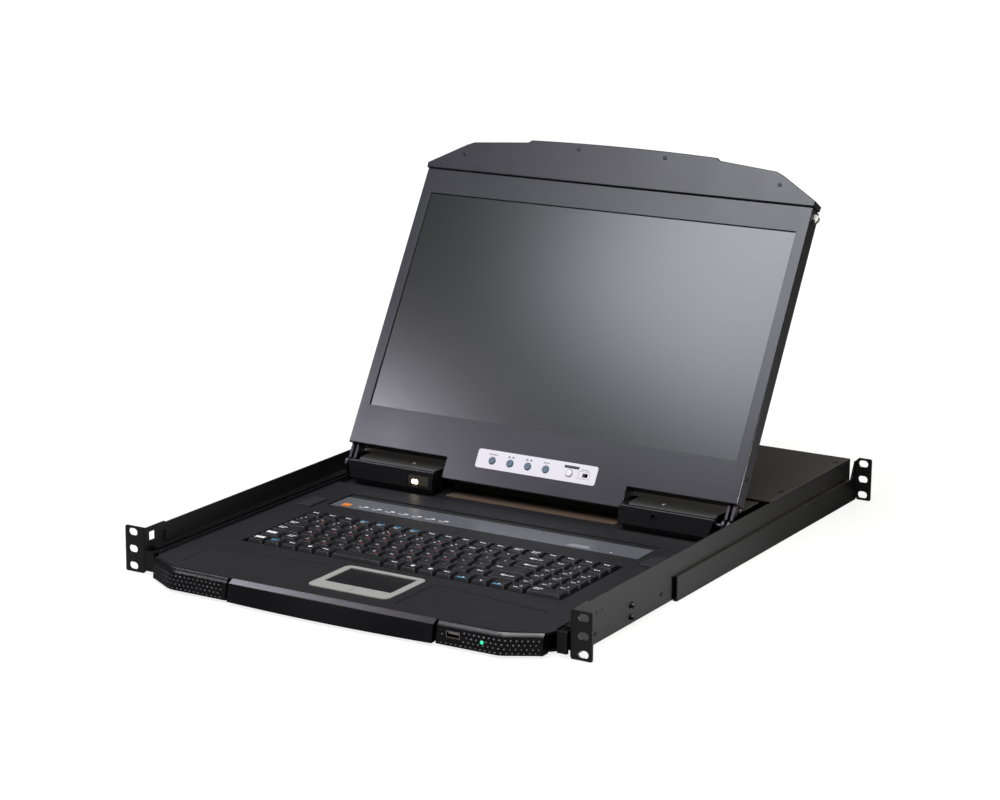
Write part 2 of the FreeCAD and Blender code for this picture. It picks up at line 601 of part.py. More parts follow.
def tongue(x0, x1):
    """Front tongue of the top panel: it runs forward and curls down round the hinge to a short skirt."""
    thick, radius, y = TRAY_T, TONGUE_R, TONGUE_CURVE_Y
    z = PANEL_TOP - radius
    low = z - TONGUE_SKIRT
    slant = math.sqrt(0.5)

    def at(y, z):
        return V(x0, y, z)

    def curl(r):
        return Part.Arc(at(y, z + r), at(y - r * slant, z + r * slant), at(y - r, z)).toShape()

    inner = radius - thick
    edges = [Part.makeLine(at(PANEL_FRONT, PANEL_TOP), at(y, PANEL_TOP)), curl(radius),
             Part.makeLine(at(y - radius, z), at(y - radius, low)),
             Part.makeLine(at(y - radius, low), at(y - inner, low)),
             Part.makeLine(at(y - inner, low), at(y - inner, z)), curl(inner),
             Part.makeLine(at(y, z + inner), at(PANEL_FRONT, z + inner)),
             Part.makeLine(at(PANEL_FRONT, z + inner), at(PANEL_FRONT, PANEL_TOP))]
    outline = Part.Wire(Part.sortEdges(edges)[0])
    return Part.Face(outline).extrude(V(x1 - x0, 0, 0))


def top_panel():
    """Panel behind the display: two tongues reach forward over the hinge brackets."""
    z1 = PANEL_TOP
    z0 = z1 - TRAY_T
    plate = box(-PANEL_OUT, PANEL_OUT, PANEL_FRONT, TRAY_BACK, z0, z1)
    bend = box(-CHIN_HALF, CHIN_HALF, PANEL_FRONT, PANEL_FRONT + TRAY_T, DECK_TOP - DECK_STEP, z0)
    right = tongue(TONGUE_IN, TONGUE_OUT)
    export("module_top_panel", fuse([plate, bend, right, flip(right)]))
    screws = [screw((side * x, y, z1), (0, 0, 1)) for x, y in DRAWER_SCREWS for side in (-1, 1)]
    export("drawer_screws", screws)


DRAWER_SCREWS = ((138.0, TONGUE_CURVE_Y + SCREW_R), (TRAY_OUT - 0.5, PANEL_FRONT + 6.5),
                 (60.0, PANEL_FRONT + 6.5))
DECK_HALF = TRAY_OUT - TRAY_T - DECK_GAP
DECK_UNDER = HANDLE_TOP - CHAMFER_DROP     # the deck's front lies on the handle's shoulder
DECK_T = DECK_TOP - DECK_UNDER
KEYS_HALF = KEY_COLUMNS * KEY_PITCH_X / 2
KEYS_DEEP = len(KEY_ROWS) * KEY_PITCH_Y


def keyboard_deck():
    """Moulded deck with wells for the keys, the strip, the touchpad and the palm rests."""
    seam_y, corner_y, end_y = [y + DECK_GAP for y in CHAMFER_BACK_Y]
    right = [(HANDLE_SEAM, seam_y), (CORNER_X, corner_y), (END_X, end_y), (DECK_HALF, TRAY_SIDE_FRONT),
             (DECK_HALF, DECK_STEP_Y)]
    outline = [(-x, y) for x, y in reversed(right)] + right
    upper = prism([(x, y, DECK_UNDER) for x, y in outline], (0, 0, DECK_T))
    trough = DECK_UNDER - DECK_STEP
    riser = box(-DECK_HALF, DECK_HALF, DECK_STEP_Y - DECK_T, DECK_STEP_Y, trough, DECK_TOP)
    lower = box(-DECK_HALF, DECK_HALF, DECK_STEP_Y - DECK_T, PANEL_FRONT, trough, trough + DECK_T)
    side, front, back = WELL_MARGIN
    x1, y1 = KEYS_HALF + side, KEY_FRONT + KEYS_DEEP + back
    well = box(-x1, x1, KEY_FRONT - front, y1, trough, 1)
    side, front, back = STRIP_MARGIN
    strip = box(-STRIP_HALF - side, STRIP_HALF + side, STRIP_Y[0] - front, STRIP_Y[1] + back,
                DECK_TOP - STRIP_DEPTH, 1)
    pad = rounded_slab(-PAD_HALF - DECK_GAP, PAD_HALF + DECK_GAP, PAD_Y[0] - DECK_GAP, PAD_Y[1] + DECK_GAP,
                       trough, 1, PAD_CORNER)
    palm = prism([(x, y, DECK_TOP - PALM_DEPTH) for x, y in PALM], (0, 0, 3))
    upright = [e for e in palm.Edges if abs(e.Vertexes[0].Z - e.Vertexes[1].Z) > 1]
    palm = palm.makeFillet(PALM_CORNER, upright)
    floor = DECK_TOP - GROOVE
    grooves = [box(-GROOVE_X, GROOVE_X, GROOVE_Y, GROOVE_Y + GROOVE, floor, 1)]
    for side in (-1, 1):
        x0, x1 = side * GROOVE_X, side * (GROOVE_X + GROOVE)
        grooves.append(box(x0, x1, GROOVE_FRONT, GROOVE_Y + GROOVE, floor, 1))
    export("keyboard_deck", cut(fuse([upper, riser, lower]), [well, strip, pad, palm, flip(palm)] + grooves))


def key_edges(row):
    """Left edge and width of each key in a row, in the drawer's X."""
    x = -KEYS_HALF
    edges = []
    for units in KEY_ROWS[row]:
        edges.append((x, units * KEY_PITCH_X))
        x += units * KEY_PITCH_X
    return edges


def keycap(x, y, width):
    """Tapered cap with a square guide post, seen from its front left corner."""
    gap = KEY_SPLIT / 2
    tx, ty = KEY_TAPER
    x0, x1, y0, y1 = x + gap, x + width - gap, y + gap, y + KEY_PITCH_Y - gap
    cap = frustum((x0, x1, y0, y1), (x0 + tx, x1 - tx, y0 + ty, y1 - ty * KEY_BACK_TAPER), KEY_SKIRT, KEY_TOP)
    cx, cy, half = x + width / 2, y + KEY_PITCH_Y / 2, POST_W / 2
    post = box(cx - half, cx + half, cy - half, cy + half, KEY_SKIRT - POST_DROP, KEY_SKIRT + 1)
    return fuse([cap, post])


def keyboard():
    """Six rows of caps, the space bar apart, over a plate with a guide hole for each post."""
    guides = []
    for row in range(len(KEY_ROWS)):
        caps = []
        y = KEY_FRONT + row * KEY_PITCH_Y
        for x, width in key_edges(row):
            cap = keycap(x, y, width)
            if width > 2.5 * KEY_PITCH_X:
                export("space_bar", cap)
            else:
                caps.append(cap)
            cx, cy, half = x + width / 2, y + KEY_PITCH_Y / 2, POST_W / 2 + SIDE_GAP
            guides.append(box(cx - half, cx + half, cy - half, cy + half, KEYPLATE_TOP - 5, KEYPLATE_TOP + 1))
        export("key_row_%d" % (row + 1), caps)
    side, front, back = [margin + KEYPLATE_RIM for margin in WELL_MARGIN]
    y0, y1 = KEY_FRONT - front, KEY_FRONT + KEYS_DEEP + back
    half = KEYS_HALF + side
    wall = KEYPLATE_RIM
    plate = box(-half, half, y0, y1, KEYPLATE_TOP - KEYPLATE_T, KEYPLATE_TOP)
    rim = box(-half, half, y0, y1, KEYPLATE_TOP, DECK_UNDER)
    hollow = box(-half + wall, half - wall, y0 + wall, y1 - wall, KEYPLATE_TOP, DECK_UNDER + 1)
    export("keyboard_plate", fuse([plate, rim.cut(hollow)]).cut(Part.makeCompound(guides)))


def strip_and_pad():
    """Indicator strip, touchpad surround, its two buttons and the pad surface."""
    z = DECK_TOP - STRIP_DEPTH
    export("indicator_panel", box(-STRIP_HALF, STRIP_HALF, STRIP_Y[0], STRIP_Y[1], z, z + STRIP_T))
    top = DECK_TOP + PAD_PROUD
    low = top - PAD_T
    slab = rounded_slab(-PAD_HALF, PAD_HALF, PAD_Y[0], PAD_Y[1], low, top, PAD_CORNER)
    hole = box(-PAD_HALF + PAD_SIDE, PAD_HALF - PAD_SIDE, PAD_BUTTON_Y, PAD_Y[1] - PAD_BACK, low - 1, top + 1)
    front = box(-PAD_HALF - 1, PAD_HALF + 1, PAD_Y[0] - 1, PAD_BUTTON_Y, low - 1, top + 1)
    surround = cut(slab, [hole, front])
    export("touchpad_surround", surround)
    bar = box(-PAD_HALF - 1, -PAD_SPLIT / 2, PAD_Y[0] - 1, PAD_BUTTON_Y - SIDE_GAP, low - 1, top + 1)
    stem = box(-PAD_HALF / 2 - 4, -PAD_HALF / 2 + 4, PAD_Y[0] + 5, PAD_Y[0] + 11, low - 1.0, low)
    left = fuse([slab.common(bar), stem])
    export("touchpad_button_left", left)
    export("touchpad_button_right", flip(left))
    inner = PAD_HALF - PAD_SIDE - 0.2
    tile = box(-inner, inner, PAD_BUTTON_Y + 0.2, PAD_Y[1] - PAD_BACK - 0.2, low - 1.6, top - PAD_SINK)
    base = box(-PAD_HALF - 3, PAD_HALF + 3, PAD_Y[0] - 3, PAD_Y[1] + 3, low - 2.8, low - 1.6)
    wall_in = rounded_slab(-PAD_HALF, PAD_HALF, PAD_Y[0], PAD_Y[1], low - 1.6, low, PAD_CORNER)
    keep = box(-PAD_HALF, PAD_HALF, PAD_BUTTON_Y, PAD_Y[1], low - 2, low + 1)
    export("touchpad_surface", fuse([tile, base, wall_in.common(keep)]))


def grip():
    """Right-hand end of the handle: a leaning front that turns at the corner, with a chamfer on top."""
    xs = (HANDLE_SEAM + SEAM_GAP, CORNER_X, END_X)
    back = FRONT_WALL_Y
    shoulder = HANDLE_TOP - CHAMFER_DROP

    def plan(ys, z):
        points = list(zip(xs, ys)) + [(END_X, GRIP_END_BACK), (CORNER_X, back), (xs[0], back)]
        return Part.makePolygon([V(x, y, z) for x, y in points] + [V(points[0][0], points[0][1], z)])

    lower = Part.makeLoft([plan(FOOT_FRONT_Y, HANDLE_BOTTOM), plan(CHAMFER_FRONT_Y, shoulder)], True, True)
    ledge = [(xs[0], CHAMFER_BACK_Y[0]), (xs[1], CHAMFER_BACK_Y[1]), (xs[2], CHAMFER_BACK_Y[2])]

    def strip(ys, z):
        points = [(x, y) for x, y in zip(xs, ys)] + list(reversed([(x, y + 0.001) for x, y in ledge]))
        return Part.makePolygon([V(x, y, z) for x, y in points] + [V(points[0][0], points[0][1], z)])

    low_ys = CHAMFER_FRONT_Y
    top_ys = [y - 0.8 for y in CHAMFER_BACK_Y]
    upper = Part.makeLoft([strip(low_ys, shoulder), strip(top_ys, HANDLE_TOP)], True, True)
    return fuse([lower, upper])


def handle():
    """Pull handle in three parts, with a USB socket and a power light in the right one."""
    right = grip()
    left = flip(right)
    y0, y1 = FOOT_FRONT_Y[0] - 2, FRONT_WALL_Y + 1
    socket = box(USB_X - USB_W / 2, USB_X + USB_W / 2, y0, y1, USB_Z - USB_H / 2, USB_Z + USB_H / 2)
    light = flat_rod((LED_X, y0, LED_Z), (0, 1, 0), LED_R + 0.05, y1 - y0)
    export("grip_right", cut(right, [socket, light]))
    export("grip_left", left)
    back = FRONT_WALL_Y
    shoulder = HANDLE_TOP - CHAMFER_DROP
    half = HANDLE_SEAM
    top_y = CHAMFER_FRONT_Y[0] - CENTRE_PROUD
    foot_y = FOOT_FRONT_Y[0] - CENTRE_PROUD

    def bowed(y, bow, z):
        arc = Part.Arc(V(-half, y, z), V(0, y - bow, z), V(half, y, z)).toShape()
        rest = Part.makePolygon([V(half, y, z), V(half, back, z), V(-half, back, z), V(-half, y, z)])
        return Part.Wire([arc] + rest.Edges)

    lower = Part.makeLoft([bowed(foot_y, CENTRE_BOW, HANDLE_BOTTOM), bowed(top_y, 0.4, shoulder)], True, True)
    edge = CHAMFER_BACK_Y[0]
    upper = prism([(-half, top_y + 0.3, shoulder - 0.1), (-half, edge, shoulder - 0.1),
                   (-half, edge, HANDLE_TOP), (-half, edge - 0.8, HANDLE_TOP)], (2 * half, 0, 0))
    export("front_handle", fuse([lower, upper]))
    face = CHAMFER_FRONT_Y[0] - 1.0
    w, h = USB_W / 2 - SIDE_GAP, USB_H / 2 - SIDE_GAP
    shell = box(USB_X - w, USB_X + w, face, face + USB_DEPTH - 1.5, USB_Z - h, USB_Z + h)
    w1, h1 = w - USB_WALL, h - USB_WALL
    mouth = box(USB_X - w1, USB_X + w1, face - 1, face + USB_DEPTH - 4, USB_Z - h1, USB_Z + h1)
    tongue = box(USB_X - w + 1.5, USB_X + w - 1.5, face + 1.5, face + USB_DEPTH - 3, USB_Z + 0.1, USB_Z + 1.9)
    export("usb_port", fuse([cut(shell, [mouth]), tongue]))
    export("power_led", flat_rod((LED_X, face - 0.3, LED_Z), (0, 1, 0), LED_R, LED_LEN))


def hinge_hood(lamp):
    """Moulded cover over one hinge: leaning front, narrow rounded top, closed ends and a recessed foot."""
    wall, low, high = HOOD_T, HOOD_FOOT_Z, HOOD_TOP_Z
    body = prism([(COVER_IN, HOOD_FOOT_Y, low), (COVER_IN, HOOD_TOP_Y, high), (COVER_IN, HOOD_BACK_Y, high),
                  (COVER_IN, HOOD_BACK_Y, low)], (COVER_OUT - COVER_IN, 0, 0))
    crest = [e for e in body.Edges if min(v.Z for v in e.Vertexes) > high - 0.1
             and max(v.Y for v in e.Vertexes) < HOOD_TOP_Y + 0.1]
    body = body.makeFillet(HOOD_ROUND, crest)
    width, height = HOOD_CHAMFER
    y0, y1 = HOOD_FOOT_Y - 1, HOOD_BACK_Y + 1
    corner = prism([(COVER_OUT - width, y0, low - 1), (COVER_OUT + 1, y0, low - 1),
                    (COVER_OUT + 1, y0, low + height), (COVER_OUT, y0, low + height)], (0, y1 - y0, 0))
    x0 = COVER_IN + wall
    hollow = prism([(x0, HOOD_FOOT_Y + wall, low - 1), (x0, HOOD_TOP_Y + wall, high - wall),
                    (x0, HOOD_RETURN_Y, high - wall), (x0, HOOD_RETURN_Y, high + 1), (x0, y1, high + 1),
                    (x0, y1, low - 1)], (COVER_OUT - wall - x0, 0, 0))
    inner_corner = corner.copy()
    inner_corner.translate(V(-wall, 0, 0))
    open_back = box(COVER_OUT - width - wall - 1, COVER_OUT + 1, HOOD_SIDE_Y, y1, low - 1, high + 1)
    body = cut(body, [corner, hollow.cut(inner_corner), open_back])
    x0, x1 = COVER_IN + wall, COVER_OUT - wall - width
    y0 = HOOD_FOOT_Y + PLINTH_SET
    ledge = box(x0, x1, HOOD_FOOT_Y + wall / 2, y0 + wall, low, low + wall / 2)
    plinth = box(x0, x1, y0, y0 + wall, DECK_TOP - DECK_STEP, low + wall / 2)
    body = fuse([body, ledge, plinth])
    if lamp:
        x0, x1 = -LAMP_X[1], -LAMP_X[0]
        return cut(body, [box(x0, x1, HOOD_FOOT_Y - 2, HOOD_TOP_Y + 4, LAMP_Z[0], LAMP_Z[1])])
    return cut(body, [rod((JACK_X, HOOD_FOOT_Y - 2, JACK_Z), (0, 1, 0), JACK_R + 0.05, 9)])


def hinge_parts():
    """Covers, lamp, jack, hinge brackets and the ribbon between the covers."""
    export("hinge_cover_left", flip(hinge_hood(True)))
    export("hinge_cover_right", hinge_hood(False))
    mid = HOOD_FOOT_Y + 3.2
    clear = 0.3
    lens = box(LAMP_X[0] + clear, LAMP_X[1] - clear, mid, mid + 6, LAMP_Z[0] + clear, LAMP_Z[1] - clear)
    export("reading_lamp", lens)
    barrel = rod((JACK_X, HOOD_FOOT_Y + 1.6, JACK_Z), (0, 1, 0), JACK_R, 9)
    bore = rod((JACK_X, HOOD_FOOT_Y, JACK_Z), (0, 1, 0), JACK_BORE, 9)
    export("service_jack", cut(barrel, [bore]))
    trough = DECK_UNDER - DECK_STEP + DECK_T
    top = HINGE_Z + PIN_R + EYE_WALL
    plates = []
    for inner in (PIN_START, PIN_START + HINGE_PLATE_PITCH):
        y0, y1, nose = HINGE_Y - PIN_R - EYE_WALL, HINGE_Y + HINGE_PLATE_BACK, HINGE_PLATE_NOSE
        outline = [(inner, y0, trough), (inner, y0, top - nose), (inner, y0 + nose, top),
                   (inner, y1 - nose, top), (inner, y1, top - nose), (inner, y1, trough)]
        plate = prism(outline, (HINGE_PLATE_T, 0, 0))
        bore = rod((inner - 1, HINGE_Y, HINGE_Z), (1, 0, 0), PIN_R + PIN_CLEAR, HINGE_PLATE_T + 2)
        plates.append(plate.cut(bore))
    foot = box(PIN_START, PIN_START + HINGE_PLATE_PITCH + HINGE_PLATE_T, y0, y1, trough, trough + 2)
    side = fuse(plates + [foot])
    export("hinge_brackets", [side, flip(side)])
    width, length = RIBBON
    top = trough + RIBBON_T
    export("ribbon_cable", box(-width / 2, width / 2, PANEL_FRONT - length, PANEL_FRONT, trough, top))


# ---------------------------------------------------------------- display

def place(shape):
    """From the display's own upright frame, with the hinge axis at its origin, to the drawer."""
    turned = shape.copy()
    turned.rotate(V(0, 0, 0), V(1, 0, 0), -LEAN)
    turned.translate(V(0, HINGE_Y, HINGE_Z))
    return turned


def depth(front):
    """Local Y of a plane that lies so far behind the display's front face."""
    return front - FACE_FWD


def face_box(x0, x1, up0, up1, d0, d1):
    """Box given by x, height above the screen's lower edge, and depth behind the front face."""
    return box(x0, x1, depth(d0), depth(d1), SCREEN_UP + up0, SCREEN_UP + up1)


def lcd_outline(inset):
    """Front outline of the display: a wide body whose middle reaches down to the hinge axis."""
    half, chin = LCD_HALF - inset, CHIN_HALF - inset
    top, low, foot = LCD_TOP - inset, -LCD_CHIN + inset, -SCREEN_UP + inset
    return [(-half, top), (-half, low), (-chin, low), (-chin, foot), (chin, foot), (chin, low),
            (half, low), (half, top)]


def lcd_slab(inset, d0, d1):
    """The display's outline between two depths."""
    points = [(x, depth(d0), SCREEN_UP + up) for x, up in lcd_outline(inset)]
    return prism(points, (0, d1 - d0, 0))


def control_tools(grow, d0, d1):
    """Cutting tools for the five round buttons and the slide switch."""
    tools = []
    for x in OSD_X + (POWER_X,):
        radius = (POWER_R if x == POWER_X else OSD_R) + grow
        front = (x, depth(d0), SCREEN_UP + BUTTON_UP)
        tools.append(flat_rod(front, (0, 1, 0), radius, d1 - d0, BUTTON_SIDES))
    half_w, half_h = SWITCH_W / 2 + grow, SWITCH_H / 2 + grow
    tools.append(face_box(SWITCH_X - half_w, SWITCH_X + SWITCH_TRAVEL + half_w,
                          BUTTON_UP - half_h, BUTTON_UP + half_h, d0, d1))
    return tools


def display_case():
    """Front bezel, back cover and panel."""
    rim = lcd_slab(0, 0, BEZEL_SKIRT)
    front_edges = [e for e in rim.Edges if max(v.Y for v in e.Vertexes) < depth(0) + 0.01]
    rim = rim.makeChamfer(BEZEL_EDGE, front_edges)
    hollow = lcd_slab(BEZEL_T, BEZEL_T, BEZEL_SKIRT + 1)
    screen = face_box(-SCREEN_W / 2, SCREEN_W / 2, 0, SCREEN_H, -1, BEZEL_SKIRT)
    lap = PLATE_CORNER
    half = PLATE_HALF - lap
    window = face_box(-half, half, PLATE_UP[0] + lap, PLATE_UP[1] - lap, -1, BEZEL_SKIRT)
    bezel = cut(rim, [hollow, screen, window])
    export("lcd_bezel", place(bezel))
    shell = lcd_slab(0.4, BEZEL_SKIRT, LCD_T)
    inside = lcd_slab(0.4 + BACK_T, BEZEL_SKIRT - 1, LCD_T - BACK_T)
    low, high = VENT_UP
    vents = []
    for i in range(VENTS):
        x = (i - (VENTS - 1) / 2) * VENT_PITCH
        vents.append(face_box(x - VENT_W / 2, x + VENT_W / 2, low, high, LCD_T - BACK_T - 1, LCD_T + 1))
    ports = []
    for side in (-1, 1):
        for x0, x1 in ARM_CHEEKS:
            ports.append(face_box(side * (x0 - 0.2), side * (x1 + 0.2), -LCD_CHIN - 1, -LCD_CHIN + 4, 2, 15))
    export("lcd_back_cover", place(cut(shell, [inside] + vents + ports)))
    side, over = PANEL_LAP
    half = SCREEN_W / 2 + side
    screen_panel = face_box(-half, half, -over, SCREEN_H + over, BEZEL_T, BEZEL_T + PANEL_T)
    export("lcd_panel", place(screen_panel))


def lip_wire(d):
    """Outline of the top handle at one depth, its middle a shallow arch."""
    foot = SCREEN_UP + LCD_TOP
    points = [V(x, depth(d), foot + up) for x, up in LIP_OUTLINE]
    mirror = [V(-p.x, p.y, p.z) for p in points]
    arch = Part.Arc(points[-1], V(0, depth(d), foot + LIP_CROWN), mirror[-1]).toShape()
    edges = Part.makePolygon(points).Edges + [arch] + Part.makePolygon(list(reversed(mirror))).Edges
    edges.append(Part.makeLine(mirror[0], points[0]))
    return Part.Wire(edges)


def display_lip():
    """Raised handle along the display's upper edge, a closed moulding with a chamfered front edge."""
    body = Part.Face(lip_wire(-LIP_PROUD)).extrude(V(0, LIP_BACK + LIP_PROUD, 0))
    front_edges = [e for e in body.Edges if max(v.Y for v in e.Vertexes) < depth(-LIP_PROUD) + 0.01]
    export("lcd_lip", place(body.makeChamfer(LIP_EDGE, front_edges)))


def display_controls():
    """White control plate, its buttons and the slide switch, and the lip's screws."""
    slab = face_box(-PLATE_HALF, PLATE_HALF, PLATE_UP[0], PLATE_UP[1], -PLATE_T, 0)
    corners = [e for e in slab.Edges if abs(e.Vertexes[0].Y - e.Vertexes[1].Y) > PLATE_T / 2]
    plate = slab.makeFillet(PLATE_CORNER, corners)
    export("control_plate", place(cut(plate, control_tools(BUTTON_GAP, -2, 2))))
    names = ["osd_button_%d" % (i + 1) for i in range(len(OSD_X))] + ["lcd_power_button"]
    for name, x in zip(names, OSD_X + (POWER_X,)):
        radius = POWER_R if x == POWER_X else OSD_R
        front = (x, depth(-BUTTON_PROUD), SCREEN_UP + BUTTON_UP)
        export(name, place(flat_rod(front, (0, 1, 0), radius, BUTTON_LEN, BUTTON_SIDES)))
    knob = face_box(SWITCH_X - SWITCH_W / 2, SWITCH_X + SWITCH_W / 2, BUTTON_UP - SWITCH_H / 2,
                    BUTTON_UP + SWITCH_H / 2, -BUTTON_PROUD + 0.4, 4)
    base = face_box(SWITCH_X - 4, SWITCH_X + 4, BUTTON_UP - 3, BUTTON_UP + 3, 4, 5)
    export("lcd_mode_switch", place(fuse([knob, base])))
    heads = []
    for side in (-1, 1):
        for x, up in LIP_SCREWS:
            heads.append(screw((side * x, depth(-LIP_PROUD), SCREEN_UP + LCD_TOP + up), (0, -1, 0), 2.2))
        heads.append(screw((side * (LCD_HALF - 0.4), depth(9), SCREEN_UP - 14), (side, 0, 0), 2.2))
    export("lcd_screws", [place(head) for head in heads])


def display_hinges():
    """Arms from the display down to the hinge axis, their pins, and the nylon side hooks."""
    arms, pins, hooks = [], [], []
    for side in (-1, 1):
        for x0, x1 in ARM_CHEEKS:
            plate = box(side * x0, side * x1, depth(BEZEL_SKIRT) + 0.3, ARM_BACK, 0, ARM_UP)
            eye = rod((side * x0, 0, 0), (side, 0, 0), ARM_R, x1 - x0)
            arms.append(fuse([plate, eye]))
        pin = rod((side * PIN_START, 0, 0), (side, 0, 0), PIN_R, PIN_OUT - PIN_START)
        arms[-2:] = [arms[-2].cut(pin), arms[-1].cut(pin)]
        pins.append(pin)
        up0, up1 = HOOK_UP
        step, barb, bevel = HOOK_BARB
        x0, neck, tip = side * (LCD_HALF - HOOK_ROOT), side * (HOOK_OUT - barb), side * HOOK_OUT
        root = face_box(x0, side * (HOOK_OUT - barb + 0.5), up0 + step, up1, HOOK_D, HOOK_D + HOOK_ROOT_T)
        nose = prism([(neck, depth(HOOK_D), SCREEN_UP + up0),
                      (tip, depth(HOOK_D), SCREEN_UP + up0 + step),
                      (tip, depth(HOOK_D), SCREEN_UP + up1 - bevel),
                      (neck, depth(HOOK_D), SCREEN_UP + up1)], (0, HOOK_T, 0))
        hooks.append(fuse([root, nose]))
    export("hinge_arms", [place(arm) for arm in arms])
    export("hinge_pins", [place(pin) for pin in pins])
    export("lcd_side_hooks", [place(hook) for hook in hooks])


def main():
    os.makedirs("parts", exist_ok=True)
    both_sides("side_rail", side_rail())
    slides()
    both_sides("slide_catch", slide_catch())
    both_sides("rear_bracket", rear_bracket())
    rear_housing()
    chassis_fasteners()
    base_tray()
    top_panel()
    keyboard_deck()
    keyboard()
    strip_and_pad()
    handle()
    hinge_parts()
    display_case()
    display_lip()
    display_controls()
    display_hinges()


main()
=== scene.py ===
# %% [markdown]
# A console drawer for a 19 inch rack: a keyboard deck on telescopic slides, with a display that folds up.
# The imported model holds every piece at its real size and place. This script gives each visible surface its
# finish, and makes finer skins for the pieces that live by small curves: keycaps, grips, covers, screws.

# %% Load the frame
import json
import math

import bmesh
import bpy
import numpy as np
from mathutils import Matrix, Vector

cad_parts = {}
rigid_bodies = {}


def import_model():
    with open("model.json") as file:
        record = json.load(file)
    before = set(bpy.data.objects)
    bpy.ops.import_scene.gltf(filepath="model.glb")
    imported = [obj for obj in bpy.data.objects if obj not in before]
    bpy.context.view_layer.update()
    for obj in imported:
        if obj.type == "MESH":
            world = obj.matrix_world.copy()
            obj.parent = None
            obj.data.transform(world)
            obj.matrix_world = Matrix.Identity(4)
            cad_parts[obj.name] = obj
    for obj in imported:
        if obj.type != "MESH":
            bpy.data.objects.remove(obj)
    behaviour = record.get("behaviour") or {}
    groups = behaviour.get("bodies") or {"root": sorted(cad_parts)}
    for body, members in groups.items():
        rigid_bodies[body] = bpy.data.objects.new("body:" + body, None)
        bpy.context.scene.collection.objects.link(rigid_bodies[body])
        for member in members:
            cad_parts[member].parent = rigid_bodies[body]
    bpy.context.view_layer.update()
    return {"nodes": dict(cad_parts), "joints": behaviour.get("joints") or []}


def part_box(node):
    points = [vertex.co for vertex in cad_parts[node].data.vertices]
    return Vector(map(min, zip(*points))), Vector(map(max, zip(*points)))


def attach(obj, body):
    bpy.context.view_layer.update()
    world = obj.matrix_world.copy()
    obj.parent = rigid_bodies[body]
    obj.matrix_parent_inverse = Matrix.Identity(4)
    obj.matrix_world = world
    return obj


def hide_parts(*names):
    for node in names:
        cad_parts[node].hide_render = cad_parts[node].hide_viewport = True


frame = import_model()
nodes = frame["nodes"]

# %% [markdown]
# Blender works in metres, so a millimetre gets a short name. Positions come from the frame: a corner of a
# node's box, or the points of one of its separate solids, such as one keycap in a row of keycaps.

# %% Lengths, corners and loose parts
MM = 0.001


def low(node):
    """Lowest corner of a node."""
    return np.array(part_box(node)[0])


def high(node):
    """Highest corner of a node."""
    return np.array(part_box(node)[1])


def middle(node):
    """Centre of a node's box."""
    return (low(node) + high(node)) / 2


def merged_copy(node):
    """A node's triangles with shared corners joined, as a bmesh."""
    mesh = bmesh.new()
    mesh.from_mesh(nodes[node].data)
    bmesh.ops.remove_doubles(mesh, verts=mesh.verts, dist=1e-6)
    return mesh


def loose_parts(node):
    """Points of each separate solid in a node, from left to right.

    Every point starts with its own number as a label. Each edge hands the smaller label to its other end
    until nothing changes, so that all points of one solid share one label."""
    mesh = merged_copy(node)
    points = np.array([v.co[:] for v in mesh.verts])
    ends = np.array([(e.verts[0].index, e.verts[1].index) for e in mesh.edges])
    mesh.free()
    label = np.arange(len(points))
    while True:
        spread = label.copy()
        np.minimum.at(spread, ends[:, 0], label[ends[:, 1]])
        np.minimum.at(spread, ends[:, 1], label[ends[:, 0]])
        if (spread == label).all():
            break
        label = spread
    parts = [points[label == number] for number in np.unique(label)]
    return sorted(parts, key=lambda part: part[:, 0].mean())


hinge = next(j for j in frame["joints"] if j["name"] == "lcd_hinge")
HINGE_POINT = np.array(hinge["pos_m"])
LEAN = math.radians(hinge["range_deg"][1] - 90.0)
LCD_UP = np.array([0.0, math.sin(LEAN), math.cos(LEAN)])
LCD_OUT = np.array([0.0, -math.cos(LEAN), math.sin(LEAN)])
print("display leans back", round(math.degrees(LEAN), 2), "degrees")

# %% [markdown]
# The camera is a long lens beyond the right front corner. It looks down a little and is turned left, so the
# drawer runs away to the upper right. A hundred millimetres of focal length keeps the rails nearly parallel.

# %% Camera
CAMERA_PLACE = (1.2737, -1.9079, 0.7327)
AZIMUTH = math.radians(30.5)
ELEVATION = math.radians(13.8)
ROLL = math.radians(0.52)
LENS_MM, SENSOR_MM = 99.99, 36.0
FAR_CLIP = 50.0


def aimed_camera():
    """Camera turned by azimuth, then elevation, then a small roll about its own axis."""
    back = Vector((math.sin(AZIMUTH) * math.cos(ELEVATION), -math.cos(AZIMUTH) * math.cos(ELEVATION),
                   math.sin(ELEVATION)))
    right = (-back).cross(Vector((0, 0, 1))).normalized()
    up = right.cross(-back)
    rolled_right = right * math.cos(ROLL) + up * math.sin(ROLL)
    rolled_up = up * math.cos(ROLL) - right * math.sin(ROLL)
    data = bpy.data.cameras.new("camera")
    data.lens = LENS_MM
    data.sensor_width = SENSOR_MM
    data.clip_end = FAR_CLIP
    camera = bpy.data.objects.new("camera", data)
    camera.matrix_world = Matrix((
        (rolled_right.x, rolled_up.x, back.x, CAMERA_PLACE[0]),
        (rolled_right.y, rolled_up.y, back.y, CAMERA_PLACE[1]),
        (rolled_right.z, rolled_up.z, back.z, CAMERA_PLACE[2]),
        (0, 0, 0, 1)))
    bpy.context.scene.collection.objects.link(camera)
    bpy.context.scene.camera = camera


aimed_camera()
bpy.context.scene.view_settings.view_transform = "Standard"

# %% [markdown]
# Colours are written as sRGB hex, the way a paint card gives them, and one function turns them to the linear
# values that shaders use. One more function adds a node with its settings and links.

# %% Colour and node helpers


